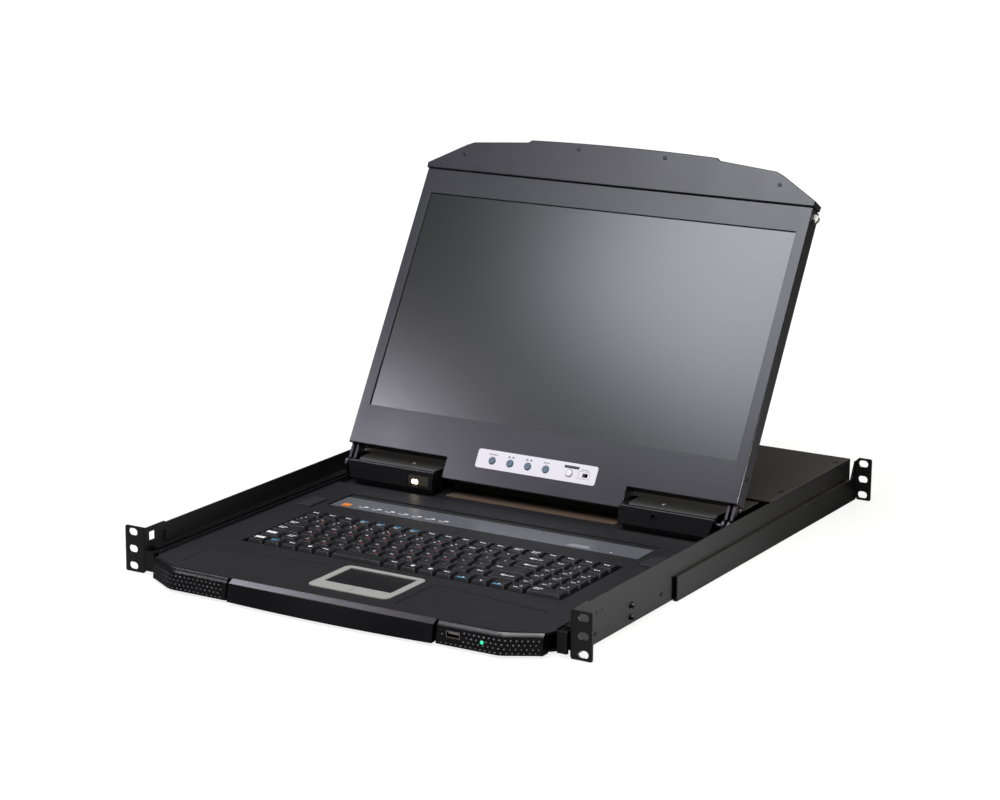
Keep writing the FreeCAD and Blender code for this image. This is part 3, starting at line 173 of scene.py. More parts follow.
def linear(hex_colour):
    """sRGB hex to linear RGBA: below 0.04045 divide by 12.92, above it a 2.4 power curve."""
    srgb = np.array([int(hex_colour[i:i + 2], 16) for i in (1, 3, 5)]) / 255.0
    rgb = np.where(srgb <= 0.04045, srgb / 12.92, ((srgb + 0.055) / 1.055) ** 2.4)
    return (*rgb.tolist(), 1.0)


def add(tree, kind, links=None, **settings):
    """Add a node; settings that name an input set its value, others set the node's own property."""
    node = tree.nodes.new(kind)
    for name, value in settings.items():
        key = name.replace("_", " ")
        if key in node.inputs:
            node.inputs[key].default_value = value
        else:
            setattr(node, name, value)
    for socket, source in (links or {}).items():
        tree.links.new(source, node.inputs[socket])
    return node


def surface(name):
    """New material with an empty tree, its shader and its output."""
    material = bpy.data.materials.new(name)
    material.use_nodes = True
    tree = material.node_tree
    tree.nodes.clear()
    shader = add(tree, "ShaderNodeBsdfPrincipled")
    output = add(tree, "ShaderNodeOutputMaterial", {"Surface": shader.outputs["BSDF"]})
    output.location = (300, 0)
    return material, tree, shader


# %% [markdown]
# The studio is a pale floor and a white surround that only the camera and clear plastic see as white: a satin
# black surface would turn grey in it, so reflections see it dim. Soft boxes do the work. Two stand where the
# leaning display mirrors the camera, one for the glow at its upper right and one for its lower left corner.
# Two large ones above give the even light on flat tops, one at the left makes the handle's chamfer glow, one
# behind lights the rear cover, and a small narrow one fades along the right side rail.

# %% Studio
BENCH = low("rear_bracket_left")[2]
FLOOR_COLOUR, FLOOR_ROUGHNESS, FLOOR_SIZE = "#777776", 0.9, 16.0
FLOOR_GAP = 0.0002                       # keeps the floor from sharing a plane with the lowest faces
FLOOR_GLOW = 0.84                        # glow that the camera sees near the drawer; it is 1 far away
GLOW_FROM, GLOW_TO = 0.7, 2.5            # distances in metres between which the glow rises
WORLD_LIGHT = 0.06
# name, place, aim, size in metres, power in watts, beam spread in degrees, tint
SOFT_BOXES = (
    ("upper_display_box", (-0.88, -1.05, 2.04), (0.3, 0.46, 0.44), (0.52, 0.75), 9.2, 180.0, "#f2f4ff"),
    ("lower_display_box", (-1.53, -1.22, 1.41), (-0.36, 0.3, -0.2), (0.17, 0.16), 3.7, 180.0, "#f6f2ff"),
    ("top_box", (-0.21, -0.43, 2.15), (0, 0.2, 0.05), (1.0, 1.0), 26.0, 180.0, "#ffffff"),
    ("front_box", (0.46, -0.9, 1.9), (0, 0.2, 0.05), (1.0, 1.0), 22.0, 180.0, "#ffffff"),
    ("handle_box", (-1.4, 0.47, 1.71), (-0.2, 0, 0), (0.5, 0.5), 10.0, 180.0, "#f4f0ff"),
    ("back_box", (0.3, 2.2, 0.95), (0.1, 0.4, 0.02), (0.9, 0.6), 10.0, 180.0, "#fff6e4"),
    ("rail_box", (0.95, 0.6, 0.03), (0.24, 0.12, 0), (0.3, 0.08), 0.4, 45.0, "#ffffff"),
)


def studio_floor():
    """Pale floor that the drawer stands on: white to the camera, with the drawer's shadow on it."""
    bpy.ops.mesh.primitive_plane_add(size=FLOOR_SIZE, location=(0, 0, BENCH - FLOOR_GAP))
    floor = bpy.context.object
    floor.name = "studio_floor"
    material, tree, shader = surface("studio_paper")
    shader.inputs["Base Color"].default_value = linear(FLOOR_COLOUR)
    shader.inputs["Roughness"].default_value = FLOOR_ROUGHNESS
    path = add(tree, "ShaderNodeLightPath")
    place = add(tree, "ShaderNodeTexCoord")
    away = add(tree, "ShaderNodeVectorMath", {0: place.outputs["Object"]}, operation="LENGTH")
    fade = add(tree, "ShaderNodeMapRange", {"Value": away.outputs["Value"]}, From_Min=GLOW_FROM,
               From_Max=GLOW_TO, To_Min=FLOOR_GLOW, To_Max=1.0)
    glow = add(tree, "ShaderNodeEmission", {"Strength": fade.outputs["Result"]}, Color=(1, 1, 1, 1))
    both = add(tree, "ShaderNodeAddShader", {0: shader.outputs["BSDF"], 1: glow.outputs["Emission"]})
    pick = add(tree, "ShaderNodeMixShader", {0: path.outputs["Is Camera Ray"], 1: shader.outputs["BSDF"],
                                             2: both.outputs["Shader"]})
    output = next(n for n in tree.nodes if n.type == "OUTPUT_MATERIAL")
    tree.links.new(pick.outputs["Shader"], output.inputs["Surface"])
    floor.data.materials.append(material)


def soft_box(name, place, aim, size, power, spread, tint):
    """Rectangular area light at a place, turned to a point. A smaller spread narrows its beam."""
    light = bpy.data.lights.new(name, "AREA")
    light.shape = "RECTANGLE"
    light.size, light.size_y = size
    light.energy = power
    light.spread = math.radians(spread)
    light.color = linear(tint)[:3]
    lamp = bpy.data.objects.new(name, light)
    lamp.location = place
    lamp.rotation_euler = (Vector(aim) - Vector(place)).to_track_quat("-Z", "Y").to_euler()
    lamp.visible_camera = False
    bpy.context.scene.collection.objects.link(lamp)


def surround():
    """White surround: full white to the camera and through clear plastic, dim as a light on the object."""
    world = bpy.data.worlds.new("surround")
    bpy.context.scene.world = world
    world.use_nodes = True
    tree = world.node_tree
    tree.nodes.clear()
    path = add(tree, "ShaderNodeLightPath")
    seen = add(tree, "ShaderNodeMath", {0: path.outputs["Is Camera Ray"],
                                        1: path.outputs["Is Transmission Ray"]}, operation="MAXIMUM")
    dim = add(tree, "ShaderNodeBackground", Color=(1, 1, 1, 1), Strength=WORLD_LIGHT)
    white = add(tree, "ShaderNodeBackground", Color=(1, 1, 1, 1), Strength=1.0)
    pick = add(tree, "ShaderNodeMixShader", {0: seen.outputs["Value"], 1: dim.outputs["Background"],
                                             2: white.outputs["Background"]})
    add(tree, "ShaderNodeOutputWorld", {"Surface": pick.outputs["Shader"]})


studio_floor()
surround()
for box_settings in SOFT_BOXES:
    soft_box(*box_settings)

# %% [markdown]
# Powder coat is a thin plastic skin baked on sheet steel. Its fine orange peel breaks a reflection into a
# soft haze, so a bump of about a millimetre and a small roughness change do most of the work. Moulded ABS is
# dyed through and takes the fine spark texture of its tool. The shiny stretches come where hands rub it.

# %% Powder coat, paint and moulded plastic


def coated(name, hex_colour, roughness, grain_mm, bump, specular=0.5):
    """Paint or moulded plastic: one colour, a fine noise bump, and roughness that varies a little."""
    material, tree, shader = surface(name)
    shader.inputs["Specular IOR Level"].default_value = specular
    place = add(tree, "ShaderNodeTexCoord")
    grain = add(tree, "ShaderNodeTexNoise", {"Vector": place.outputs["Object"]},
                Scale=1.0 / (grain_mm * MM), Detail=3.0)
    cloud = add(tree, "ShaderNodeTexNoise", {"Vector": place.outputs["Object"]}, Scale=14.0, Detail=2.0)
    base = np.array(linear(hex_colour))
    dark, light = base * (0.9, 0.9, 0.9, 1), np.minimum(base * (1.1, 1.1, 1.1, 1), 1)
    shade = add(tree, "ShaderNodeMixRGB", {"Fac": grain.outputs["Fac"]}, Color1=dark, Color2=light)
    tree.links.new(shade.outputs["Color"], shader.inputs["Base Color"])
    spread = add(tree, "ShaderNodeMapRange", {"Value": cloud.outputs["Fac"]})
    spread.inputs["To Min"].default_value = roughness - 0.05
    spread.inputs["To Max"].default_value = roughness + 0.05
    tree.links.new(spread.outputs["Result"], shader.inputs["Roughness"])
    relief = add(tree, "ShaderNodeBump", {"Height": grain.outputs["Fac"]}, Strength=bump, Distance=0.0002)
    tree.links.new(relief.outputs["Normal"], shader.inputs["Normal"])
    return material


black_powder_coat = coated("black_powder_coat", "#19191a", 0.42, 1.2, 0.25)
charcoal_powder_coat = coated("charcoal_powder_coat", "#2b2b28", 0.5, 1.2, 0.3)
bezel_paint = coated("violet_charcoal_paint", "#2f2e35", 0.25, 0.9, 0.03)
lip_paint = coated("violet_charcoal_lip_paint", "#25242a", 0.27, 0.9, 0.03)
slide_coat = coated("black_electro_coat", "#121214", 0.35, 2.0, 0.05)
deck_abs = coated("spark_textured_black_abs", "#18181a", 0.5, 0.7, 0.35)
handle_abs = coated("satin_black_abs", "#0d0c0f", 0.3, 0.8, 0.05)
hood_abs = coated("satin_charcoal_abs", "#131316", 0.32, 0.8, 0.06)
key_abs = coated("keycap_black_abs", "#1d1d20", 0.42, 0.5, 0.25)
socket_abs = coated("black_socket_plastic", "#0e0e0f", 0.45, 0.8, 0.1)
pad_film = coated("black_touch_film", "#101012", 0.4, 0.3, 0.3)
foot_rubber = coated("black_foot_rubber", "#19191a", 0.7, 0.6, 0.3)
strip_film = coated("smoke_grey_film", "#5c6064", 0.28, 0.5, 0.05)
control_film = coated("white_control_film", "#e9e6ee", 0.4, 0.5, 0.05)
button_plastic = coated("blue_grey_button_plastic", "#5b7080", 0.3, 0.6, 0.05)
white_plastic = coated("white_button_plastic", "#eeecf0", 0.35, 0.6, 0.05)
nylon = coated("natural_nylon", "#f0f0ea", 0.5, 0.6, 0.1)
board_laminate = coated("green_circuit_laminate", "#1f5a36", 0.3, 0.8, 0.1)
silver_paint = coated("silver_painted_plastic", "#a2a29d", 0.35, 0.4, 0.1)

# %% [markdown]
# Screen-printed ink lies a few hundredths of a millimetre above the plastic. It is matt and even, and its
# colour is what counts, so it gets the same recipe with almost no grain.

# %% Inks
white_ink = coated("white_legend_ink", "#e4e4e6", 0.5, 0.4, 0.02)
red_ink = coated("red_legend_ink", "#b8463c", 0.5, 0.4, 0.02)
blue_ink = coated("blue_legend_ink", "#4f93b8", 0.5, 0.4, 0.02)
orange_ink = coated("orange_indicator_ink", "#e8851f", 0.5, 0.4, 0.02)
grey_ink = coated("grey_label_ink", "#8d8f94", 0.5, 0.4, 0.02)
dark_ink = coated("dark_label_ink", "#2b2b2f", 0.5, 0.4, 0.02)

# %% [markdown]
# Bare and plated metal reflects its surroundings in its own tint. Rolled and stamped parts carry long fine
# scratches, so the noise that varies their roughness is stretched along X.

# %% Metals


def metal(name, hex_colour, roughness, scratch_mm=0.4):
    """Bare or plated metal: metallic, with long fine scratches stretched along X."""
    material, tree, shader = surface(name)
    shader.inputs["Base Color"].default_value = linear(hex_colour)
    shader.inputs["Metallic"].default_value = 1.0
    place = add(tree, "ShaderNodeTexCoord")
    stretch = add(tree, "ShaderNodeMapping", {"Vector": place.outputs["Object"]}, Scale=(0.05, 1.0, 1.0))
    lines = add(tree, "ShaderNodeTexNoise", {"Vector": stretch.outputs["Vector"]},
                Scale=1.0 / (scratch_mm * MM), Detail=2.0)
    spread = add(tree, "ShaderNodeMapRange", {"Value": lines.outputs["Fac"]})
    spread.inputs["To Min"].default_value = roughness - 0.08
    spread.inputs["To Max"].default_value = roughness + 0.08
    tree.links.new(spread.outputs["Result"], shader.inputs["Roughness"])
    return material


plated_steel = metal("nickel_plated_steel", "#b9b7b2", 0.28)
hinge_steel = metal("black_oxide_hinge_steel", "#4a494e", 0.4)
screw_steel = metal("black_zinc_steel", "#3a3a3e", 0.35)

# %% [markdown]
# The display film is nearly black behind a matt skin of microscopic beads. Those beads spread a reflection
# over a few degrees, so a soft box shows in it as a slow gradient and not as a shape. The flat cable is
# polyester with copper lines a millimetre apart, drawn at 3.2 mm, because finer ones wouldn't show.

# %% Display film, flat cable and lenses


def screen_finish():
    """Anti-glare display film: nearly black, with a matt skin that spreads reflections widely."""
    material, tree, shader = surface("anti_glare_film")
    shader.inputs["Base Color"].default_value = linear("#0c0f0e")
    shader.inputs["Roughness"].default_value = 0.21
    shader.inputs["Specular IOR Level"].default_value = 0.9
    place = add(tree, "ShaderNodeTexCoord")
    sparkle = add(tree, "ShaderNodeTexNoise", {"Vector": place.outputs["Object"]}, Scale=2500.0, Detail=1.0)
    relief = add(tree, "ShaderNodeBump", {"Height": sparkle.outputs["Fac"]}, Strength=0.03, Distance=0.0001)
    tree.links.new(relief.outputs["Normal"], shader.inputs["Normal"])
    return material


RIBBON_PITCH_MM = 3.2


def ribbon_finish():
    """Flat cable: bright and dark lines across X, one pair to each pitch."""
    material, tree, shader = surface("striped_flat_cable")
    place = add(tree, "ShaderNodeTexCoord")
    lines = add(tree, "ShaderNodeTexWave", {"Vector": place.outputs["Object"]},
                Scale=1.0 / (RIBBON_PITCH_MM * MM) / 3.2, Distortion=0.3, bands_direction="X")
    shade = add(tree, "ShaderNodeMixRGB", {"Fac": lines.outputs["Fac"]}, Color1=linear("#3a312a"),
                Color2=linear("#7d6a5a"))
    tree.links.new(shade.outputs["Color"], shader.inputs["Base Color"])
    shader.inputs["Roughness"].default_value = 0.4
    return material


def glowing(name, hex_colour, strength):
    """Lit lens: a clear skin over an even glow."""
    material, tree, shader = surface(name)
    shader.inputs["Base Color"].default_value = linear(hex_colour)
    shader.inputs["Emission Color"].default_value = linear(hex_colour)
    shader.inputs["Emission Strength"].default_value = strength
    shader.inputs["Roughness"].default_value = 0.2
    return material


screen_film = screen_finish()
ribbon_film = ribbon_finish()
green_lens = glowing("lit_green_lens", "#2fd59a", 1.2)
lamp_lens = glowing("smoked_lamp_lens", "#3a372f", 0.3)
lamp_glow = glowing("lit_warm_lens", "#fff3d2", 4.0)

# %% Finish of every carried-over node
FINISH = {
    black_powder_coat: ("side_rail_left", "side_rail_right", "rear_bracket_left", "rear_bracket_right",
                        "base_tray"),
    charcoal_powder_coat: ("rear_pan", "rear_cover", "module_top_panel"),
    slide_coat: ("slide_outer_pair", "slide_middle_left", "slide_middle_right", "slide_inner_pair"),
    socket_abs: ("power_inlet", "power_rocker", "service_jack", "slide_catch_left", "slide_catch_right",
                 "lcd_mode_switch", "keyboard_plate"),
    plated_steel: ("rear_ports", "usb_port"),
    screw_steel: ("chassis_screws", "drawer_screws", "lcd_screws"),
    board_laminate: ("main_board",),
    deck_abs: ("keyboard_deck",),
    handle_abs: ("front_handle", "grip_left", "grip_right"),
    hood_abs: ("hinge_cover_left", "hinge_cover_right"),
    green_lens: ("power_led",),
    lamp_lens: ("reading_lamp",),
    strip_film: ("indicator_panel",),
    silver_paint: ("touchpad_surround", "touchpad_button_left", "touchpad_button_right"),
    pad_film: ("touchpad_surface",),
    ribbon_film: ("ribbon_cable",),
    key_abs: ("space_bar",) + tuple("key_row_%d" % row for row in range(1, 7)),
    hinge_steel: ("hinge_brackets", "hinge_arms", "hinge_pins"),
    bezel_paint: ("lcd_bezel", "lcd_back_cover"),
    lip_paint: ("lcd_lip",),
    screen_film: ("lcd_panel",),
    control_film: ("control_plate",),
    button_plastic: tuple("osd_button_%d" % number for number in range(1, 5)),
    white_plastic: ("lcd_power_button",),
    nylon: ("lcd_side_hooks",),
}
finish_of = {}
for material, names in FINISH.items():
    for name in names:
        finish_of[name] = material
        slots = nodes[name].data.materials
        slots.clear()
        slots.append(material)
print("nodes without a finish:", sorted(set(nodes) - set(finish_of)))

# %% [markdown]
# Two helpers make every new piece. One puts arrays of points and faces into a mesh, closes its seams and lets
# it ride on a body. The other copies a node whose shape is right but whose edges are knife sharp: a real
# sheet-metal fold or a moulding always has a small radius, and that radius is what catches the light.

# %% Mesh helpers


def grid_quads(rows, columns, wrap_rows=False, wrap_columns=False):
    """Quads between the points of a grid that is numbered row by row."""
    row, column = np.meshgrid(np.arange(rows - (not wrap_rows)), np.arange(columns - (not wrap_columns)),
                              indexing="ij")
    next_row, next_column = (row + 1) % rows, (column + 1) % columns
    corners = (row * columns + column, row * columns + next_column,
               next_row * columns + next_column, next_row * columns + column)
    return np.stack(corners, -1).reshape(-1, 4)


def make_piece(name, points, faces, material, body, stands_for=(), closed=True, smooth=True):
    """A mesh piece from an array of points in metres, riding on a body and standing for CAD nodes."""
    data = bpy.data.meshes.new(name)
    data.from_pydata(np.asarray(points).tolist(), [], [list(map(int, face)) for face in faces])
    mesh = bmesh.new()
    mesh.from_mesh(data)
    if closed:
        bmesh.ops.remove_doubles(mesh, verts=mesh.verts, dist=2e-6)
        bmesh.ops.recalc_face_normals(mesh, faces=mesh.faces)
    for face in mesh.faces:
        face.smooth = smooth
    mesh.to_mesh(data)
    mesh.free()
    data.materials.append(material)
    piece = bpy.data.objects.new(name, data)
    bpy.context.scene.collection.objects.link(piece)
    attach(piece, body)
    if stands_for:
        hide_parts(*stands_for)
    return piece


def body_of(node):
    """Name of the body that carries a node."""
    return nodes[node].parent.name.split(":")[1]


def softened(node, width, segments=2, angle=30.0):
    """A node with its triangles joined in pairs and its edges rounded to a radius in millimetres."""
    mesh = merged_copy(node)
    bmesh.ops.join_triangles(mesh, faces=mesh.faces, angle_face_threshold=math.radians(1.0),
                             angle_shape_threshold=math.pi)
    for face in mesh.faces:
        face.smooth = True
    name = node + "_skin"
    data = bpy.data.meshes.new(name)
    mesh.to_mesh(data)
    mesh.free()
    data.materials.append(finish_of[node])
    piece = bpy.data.objects.new(name, data)
    bpy.context.scene.collection.objects.link(piece)
    rounding = piece.modifiers.new("rounding", "BEVEL")
    rounding.width = width * MM
    rounding.segments = segments
    rounding.limit_method = "ANGLE"
    rounding.angle_limit = math.radians(angle)
    rounding.miter_outer = "MITER_ARC"
    even = piece.modifiers.new("even_normals", "WEIGHTED_NORMAL")
    even.weight = 100
    even.keep_sharp = False
    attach(piece, body_of(node))
    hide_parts(node)
    return piece


SOFT_EDGES = {            # node: edge radius in millimetres
    "front_handle": 0.6, "hinge_cover_left": 0.5, "hinge_cover_right": 0.5, "keyboard_deck": 0.3,
    "lcd_bezel": 0.5, "lcd_back_cover": 0.6, "lcd_lip": 0.4, "rear_cover": 0.4, "module_top_panel": 0.4,
    "side_rail_left": 0.25, "side_rail_right": 0.25, "rear_bracket_left": 0.25, "rear_bracket_right": 0.25,
    "base_tray": 0.3, "touchpad_surround": 0.5, "touchpad_button_left": 0.4, "touchpad_button_right": 0.4,
    "control_plate": 0.3, "hinge_arms": 0.4, "hinge_brackets": 0.3, "lcd_side_hooks": 0.5,
}
for name, radius in SOFT_EDGES.items():
    softened(name, radius)
print("softened", len(SOFT_EDGES), "nodes")

# %% [markdown]
# A keycap is a thin moulding: four walls that lean in, edges rolled over to half a millimetre, and a top that
# is hollowed across so that a fingertip finds it. One ring of points runs round the cap, and the cap is a
# stack of such rings, each pulled in and lifted. The ring and the stack are the same for all the caps, so the
# whole row is one array: caps by rings by points.

# %% Keycaps
KEY_SKIRT, KEY_TOP = -4.6 * MM, high("key_row_1")[2]
KEY_TAPER = np.array((1.9, 2.4, 1.0)) * MM     # how far the top pulls in: sides, front, back
KEY_DISH = 0.45 * MM
# each ring: share of the height, share of the taper, share of the dish, and scale towards the middle
KEY_RINGS = np.array(((0.0, 0.0, 0.0, 0.0), (0.0, 0.0, 0.0, 1.0), (0.5, 0.5, 0.0, 1.0),
                      (0.86, 0.84, 0.0, 1.0), (0.94, 0.91, 0.1, 1.0), (0.985, 1.0, 0.3, 1.0),
                      (1.0, 1.13, 0.7, 1.0), (1.0, 1.2, 1.0, 0.8), (1.0, 1.2, 1.0, 0.4),
                      (1.0, 1.2, 1.0, 0.0)))


def unit_ring():
    """Round a rectangle: how far along each side a point lies, and the turn of its corner, as three arrays.

    Four quarter turns of four points, with four more points on the front and back sides, so that a hollow top
    can curve across them."""
    quarter = np.radians(np.linspace(0, 90, 4))
    between = np.array((0.6, 0.2, -0.2, -0.6))
    along = np.concatenate([[1] * 8, between, [-1] * 8, -between])
    across = np.concatenate([[-1] * 4, [1] * 4, [1] * 4, [1] * 4, [-1] * 4, [-1] * 4])
    turn = np.concatenate([quarter - math.pi / 2, quarter, [math.pi / 2] * 4, quarter + math.pi / 2,
                           quarter + math.pi, [1.5 * math.pi] * 4])
    return along, across, turn


def keycap_rows(boxes):
    """Points of a row of caps from their (x0, x1, y0, y1) boxes, as an array of caps by rings by points."""
    height, taper, dish, scale = [column[None, :, None] for column in KEY_RINGS.T]
    along, across, turn = [part[None, None, :] for part in unit_ring()]
    x0, x1, y0, y1 = [side[:, None, None] for side in np.array(boxes).T]
    half_x = (x1 - x0) / 2 - KEY_TAPER[0] * taper
    front, back = y0 + KEY_TAPER[1] * taper, y1 - KEY_TAPER[2] * taper
    half_y = (back - front) / 2
    corner = (0.5 + 0.9 * taper) * MM
    x = (x0 + x1) / 2 + scale * (along * (half_x - corner) + corner * np.cos(turn))
    y = (front + back) / 2 + scale * (across * (half_y - corner) + corner * np.sin(turn))
    bend = 1 - ((x - (x0 + x1) / 2) / np.minimum(half_x, 9 * MM)).clip(-1, 1) ** 2
    z = KEY_SKIRT + height * (KEY_TOP - KEY_SKIRT) - KEY_DISH * dish * bend + 0 * x
    return np.stack([x, y, z], -1)


key_boxes = {}
for name in ["key_row_%d" % row for row in range(1, 7)] + ["space_bar"]:
    boxes = [(part[:, 0].min(), part[:, 0].max(), part[:, 1].min(), part[:, 1].max())
             for part in loose_parts(name)]
    key_boxes[name] = boxes
    caps = keycap_rows(boxes)
    rings, ring_points = caps.shape[1:3]
    quads = grid_quads(rings, ring_points, wrap_columns=True)
    first = np.arange(len(boxes))[:, None, None] * rings * ring_points
    make_piece(name + "_caps", caps.reshape(-1, 3), (quads[None] + first).reshape(-1, 4), key_abs,
               body_of(name), (name,))
print("keycaps:", sum(len(boxes) for boxes in key_boxes.values()))

# %% [markdown]
# Legends are printed on the caps: a white character with a small red second one beside it, and plain bars,
# arrows and blocks where a keyboard has words. Each mark is a flat patch laid on the hollow top. Letters come
# from Blender's own font, turned to a mesh once each and kept.

# %% Marks and letters
INKS = (white_ink, red_ink, blue_ink, dark_ink, grey_ink, orange_ink)
WHITE, RED, BLUE, DARK, GREY, ORANGE = range(6)
glyphs = {}


def glyph(letter):
    """Flat outline of one character about its centre, in units of its size: points and faces."""
    if letter not in glyphs:
        curve = bpy.data.curves.new("glyph", "FONT")
        curve.body = letter
        curve.resolution_u = 2
        writer = bpy.data.objects.new("glyph", curve)
        data = bpy.data.meshes.new_from_object(writer)
        points = np.array([vertex.co[:2] for vertex in data.vertices])
        points -= (points.min(0) + points.max(0)) / 2
        glyphs[letter] = points, [list(face.vertices) for face in data.polygons]
        bpy.data.objects.remove(writer)
        bpy.data.meshes.remove(data)
        bpy.data.curves.remove(curve)
    return glyphs[letter]


def bar(width, height):
    """Rectangle about its centre."""
    return np.array(((-1, -1), (1, -1), (1, 1), (-1, 1))) * (width / 2, height / 2), [[0, 1, 2, 3]]


def disc(radius, sides=12, hollow=0.0):
    """Round dot, or a ring if hollow is its inner share."""
    turn = np.linspace(0, 2 * math.pi, sides, endpoint=False)
    rim = np.stack([np.cos(turn), np.sin(turn)], -1) * radius
    if not hollow:
        return rim, [list(range(sides))]
    return np.concatenate([rim, rim * hollow]), grid_quads(2, sides, wrap_columns=True)[:, ::-1].tolist()


def arrow(length, thickness):
    """Arrow that points to -X: a triangle and a stem."""
    half = length / 2
    points = np.array(((-half, 0), (0, -1.6 * thickness), (0, -thickness / 2), (half, -thickness / 2),
                       (half, thickness / 2), (0, thickness / 2), (0, 1.6 * thickness)))
    return points, [[0, 1, 2, 3, 4, 5, 6]]


class Sheet:
    """Collects flat marks in millimetres and prints them as one piece, each mark in its ink."""

    def __init__(self):
        self.points, self.faces, self.inks, self.count = [], [], [], 0

    def mark(self, shape, x, y, ink=WHITE, size=1.0):
        """Put a shape at x, y in an ink."""
        points, faces = shape
        self.points.append(points * size + (x, y))
        self.faces += [[corner + self.count for corner in face] for face in faces]
        self.inks += [ink] * len(faces)
        self.count += len(points)

    def print_on(self, name, body, place):
        """Make the piece. place turns an array of x, y in millimetres to points in metres."""
        piece = make_piece(name, place(np.concatenate(self.points)), self.faces, INKS[0], body, closed=False,
                           smooth=False)
        for ink in INKS[1:]:
            piece.data.materials.append(ink)
        piece.data.polygons.foreach_set("material_index", self.inks)
        return piece


# %% [markdown]
# One character of a row's string stands for one key. Letters and digits are drawn as they are; the other
# signs stand for bars, blocks, arrows and dots.

# %% Key legends
LEGENDS = (
    "#~-*--**-^,^0=",
    "#=ZXCVBNM;:?->123",
    "=ASDFGHJKL+!-456",
    "=QWERTYUIOP[]>789",
    "1234567890-+'>-/-",
    "---~~~~-----==----",
)
SECOND = "KWTPDMRFNVHBGXZCLSJQEAYUIO"
INK_LIFT = 0.05


def word(sheet, x, y, length, ink=WHITE, height=1.5):
    """A word as a reader sees it from afar: short bars with thin gaps."""
    count = max(2, int(length / 1.7))
    step = length / count
    for number in range(count):
        sheet.mark(bar(step - 0.45, height * (1.0, 0.75, 0.9)[number % 3]), x + step * (number + 0.5), y, ink)


def legend(sheet, sign, x, y, width, row):
    """Print one key's legend. x, y is the key's left front corner, and width its width, in millimetres."""
    if sign == "#":
        sheet.mark(bar(10.5, 5.0), x + 9.5, y + 10.8)
        sheet.mark(arrow(5.5, 0.8), x + 9.5, y + 10.8, DARK)
    elif sign == "~":
        word(sheet, x + 4.0, y + 11.5, 7.5, BLUE, 3.0)
        word(sheet, x + 4.5, y + 8.2, 5.0, WHITE if row == 6 else BLUE, 1.4)
    elif sign == "-":
        word(sheet, x + 5.0, y + 11.5, 6.0, height=2.2)
    elif sign == "=":
        word(sheet, x + 5.0, y + 12.4, 8.0, height=1.8)
        word(sheet, x + 5.0, y + 9.4, 6.0, height=1.8)
    elif sign == "*":
        sheet.mark(disc(2.6, 4), x + 9.5, y + 11.0)
    elif sign == "^":
        sheet.mark(disc(1.1), x + 9.5, y + 6.0)
        sheet.mark(bar(8.0, 2.6), x + 8.5, y + 3.9, BLUE)
    elif sign == ",":
        sheet.mark(disc(1.1), x + 9.5, y + 6.0)
    elif sign == ">":
        sheet.mark(arrow(9.0, 1.5), x + width / 2 - 2, y + 11.5)
        word(sheet, x + width / 2 + 3.5, y + 11.0, 5.0, height=1.8)
    elif sign.isdigit() and row < 5:
        sheet.mark(glyph(sign), x + 10.5, y + 10.5, size=5.0)
        word(sheet, x + 5.0, y + 6.2, 5.0, height=1.4)
    elif row == 5:
        sheet.mark(glyph(sign), x + 6.5, y + 7.6, size=4.4)
        sheet.mark(disc(0.9), x + 8.0, y + 12.6)
        if sign in "2469":
            sheet.mark(bar(2.2, 2.4), x + 12.5, y + 7.8, RED)
    else:
        sheet.mark(glyph(sign), x + 7.0, y + 11.6, size=4.6)
        if sign.isalpha():
            sheet.mark(glyph(SECOND[ord(sign) - 65]), x + 11.4, y + 6.9, RED, 4.0)


def on_cap(x0, x1):
    """Place for marks on one cap: x, y as they are, and z on the hollow top."""
    def place(marks):
        x, y = marks.T * MM
        bend = 1 - ((x - (x0 + x1) / 2) / min((x1 - x0) / 2 - KEY_TAPER[0] * 1.2, 9 * MM)).clip(-1, 1) ** 2
        return np.stack([x, y, KEY_TOP - KEY_DISH * bend + INK_LIFT * MM], -1)
    return place


for row, signs in enumerate(LEGENDS, 1):
    name = "key_row_%d" % row
    sheet, heights = Sheet(), []
    for sign, (x0, x1, y0, y1) in zip(signs, key_boxes[name]):
        start = len(sheet.points)
        legend(sheet, sign, x0 / MM - 0.45, y0 / MM - 0.45, (x1 - x0) / MM + 0.9, row)
        heights += [on_cap(x0, x1)(marks)[:, 2] for marks in sheet.points[start:]]
    z = np.concatenate(heights)
    sheet.print_on(name + "_legends", name, lambda marks: np.column_stack([marks * MM, z]))
print("legend rows:", len(LEGENDS), "characters:", len(glyphs))

# %% [markdown]
# The two ends of the pull handle are grips with four staggered rows of round dimples. Each grip is a closed
# outline carried along X: its front leans, turns the corner in a soft bend, and ends square. Only the leaning
# front is finely divided, and every point there is pushed in by how near it lies to the middle of a dimple.
# The USB socket's opening is made the same way, by pushing a rectangle of points far in.

# %% Dimpled grips
GRIP_IN, GRIP_OUT = low("grip_right")[0] + 1.6 * MM, high("grip_right")[0]      # a seam at the handle
GRIP_CORNER = GRIP_OUT - 31.0 * MM
GRIP_LOW, GRIP_TOP = low("grip_right")[2], high("grip_right")[2]
GRIP_SHOULDER = GRIP_TOP - 3.6 * MM
GRIP_STATIONS = np.array((GRIP_IN, GRIP_CORNER, GRIP_OUT))
GRIP_FOOT = low("grip_right")[1] + np.array((0.0, 0.5, 19.1)) * MM        # front lines at the three stations
GRIP_FRONT = low("grip_right")[1] + np.array((3.2, 4.2, 20.8)) * MM
GRIP_CREST = low("grip_right")[1] + np.array((5.9, 6.9, 23.5)) * MM
GRIP_EDGE = low("grip_right")[1] + np.array((8.9, 10.4, 24.9)) * MM
GRIP_BACK = high("grip_right")[1] + np.array((-14.0, -14.0, 0.0)) * MM
DIMPLE_PITCH, DIMPLE_ROW, DIMPLE_R, DIMPLE_DEPTH = 4.7 * MM, 3.5 * MM, 1.45 * MM, 1.1 * MM
BEND = np.linspace(-5, 5, 11) * MM


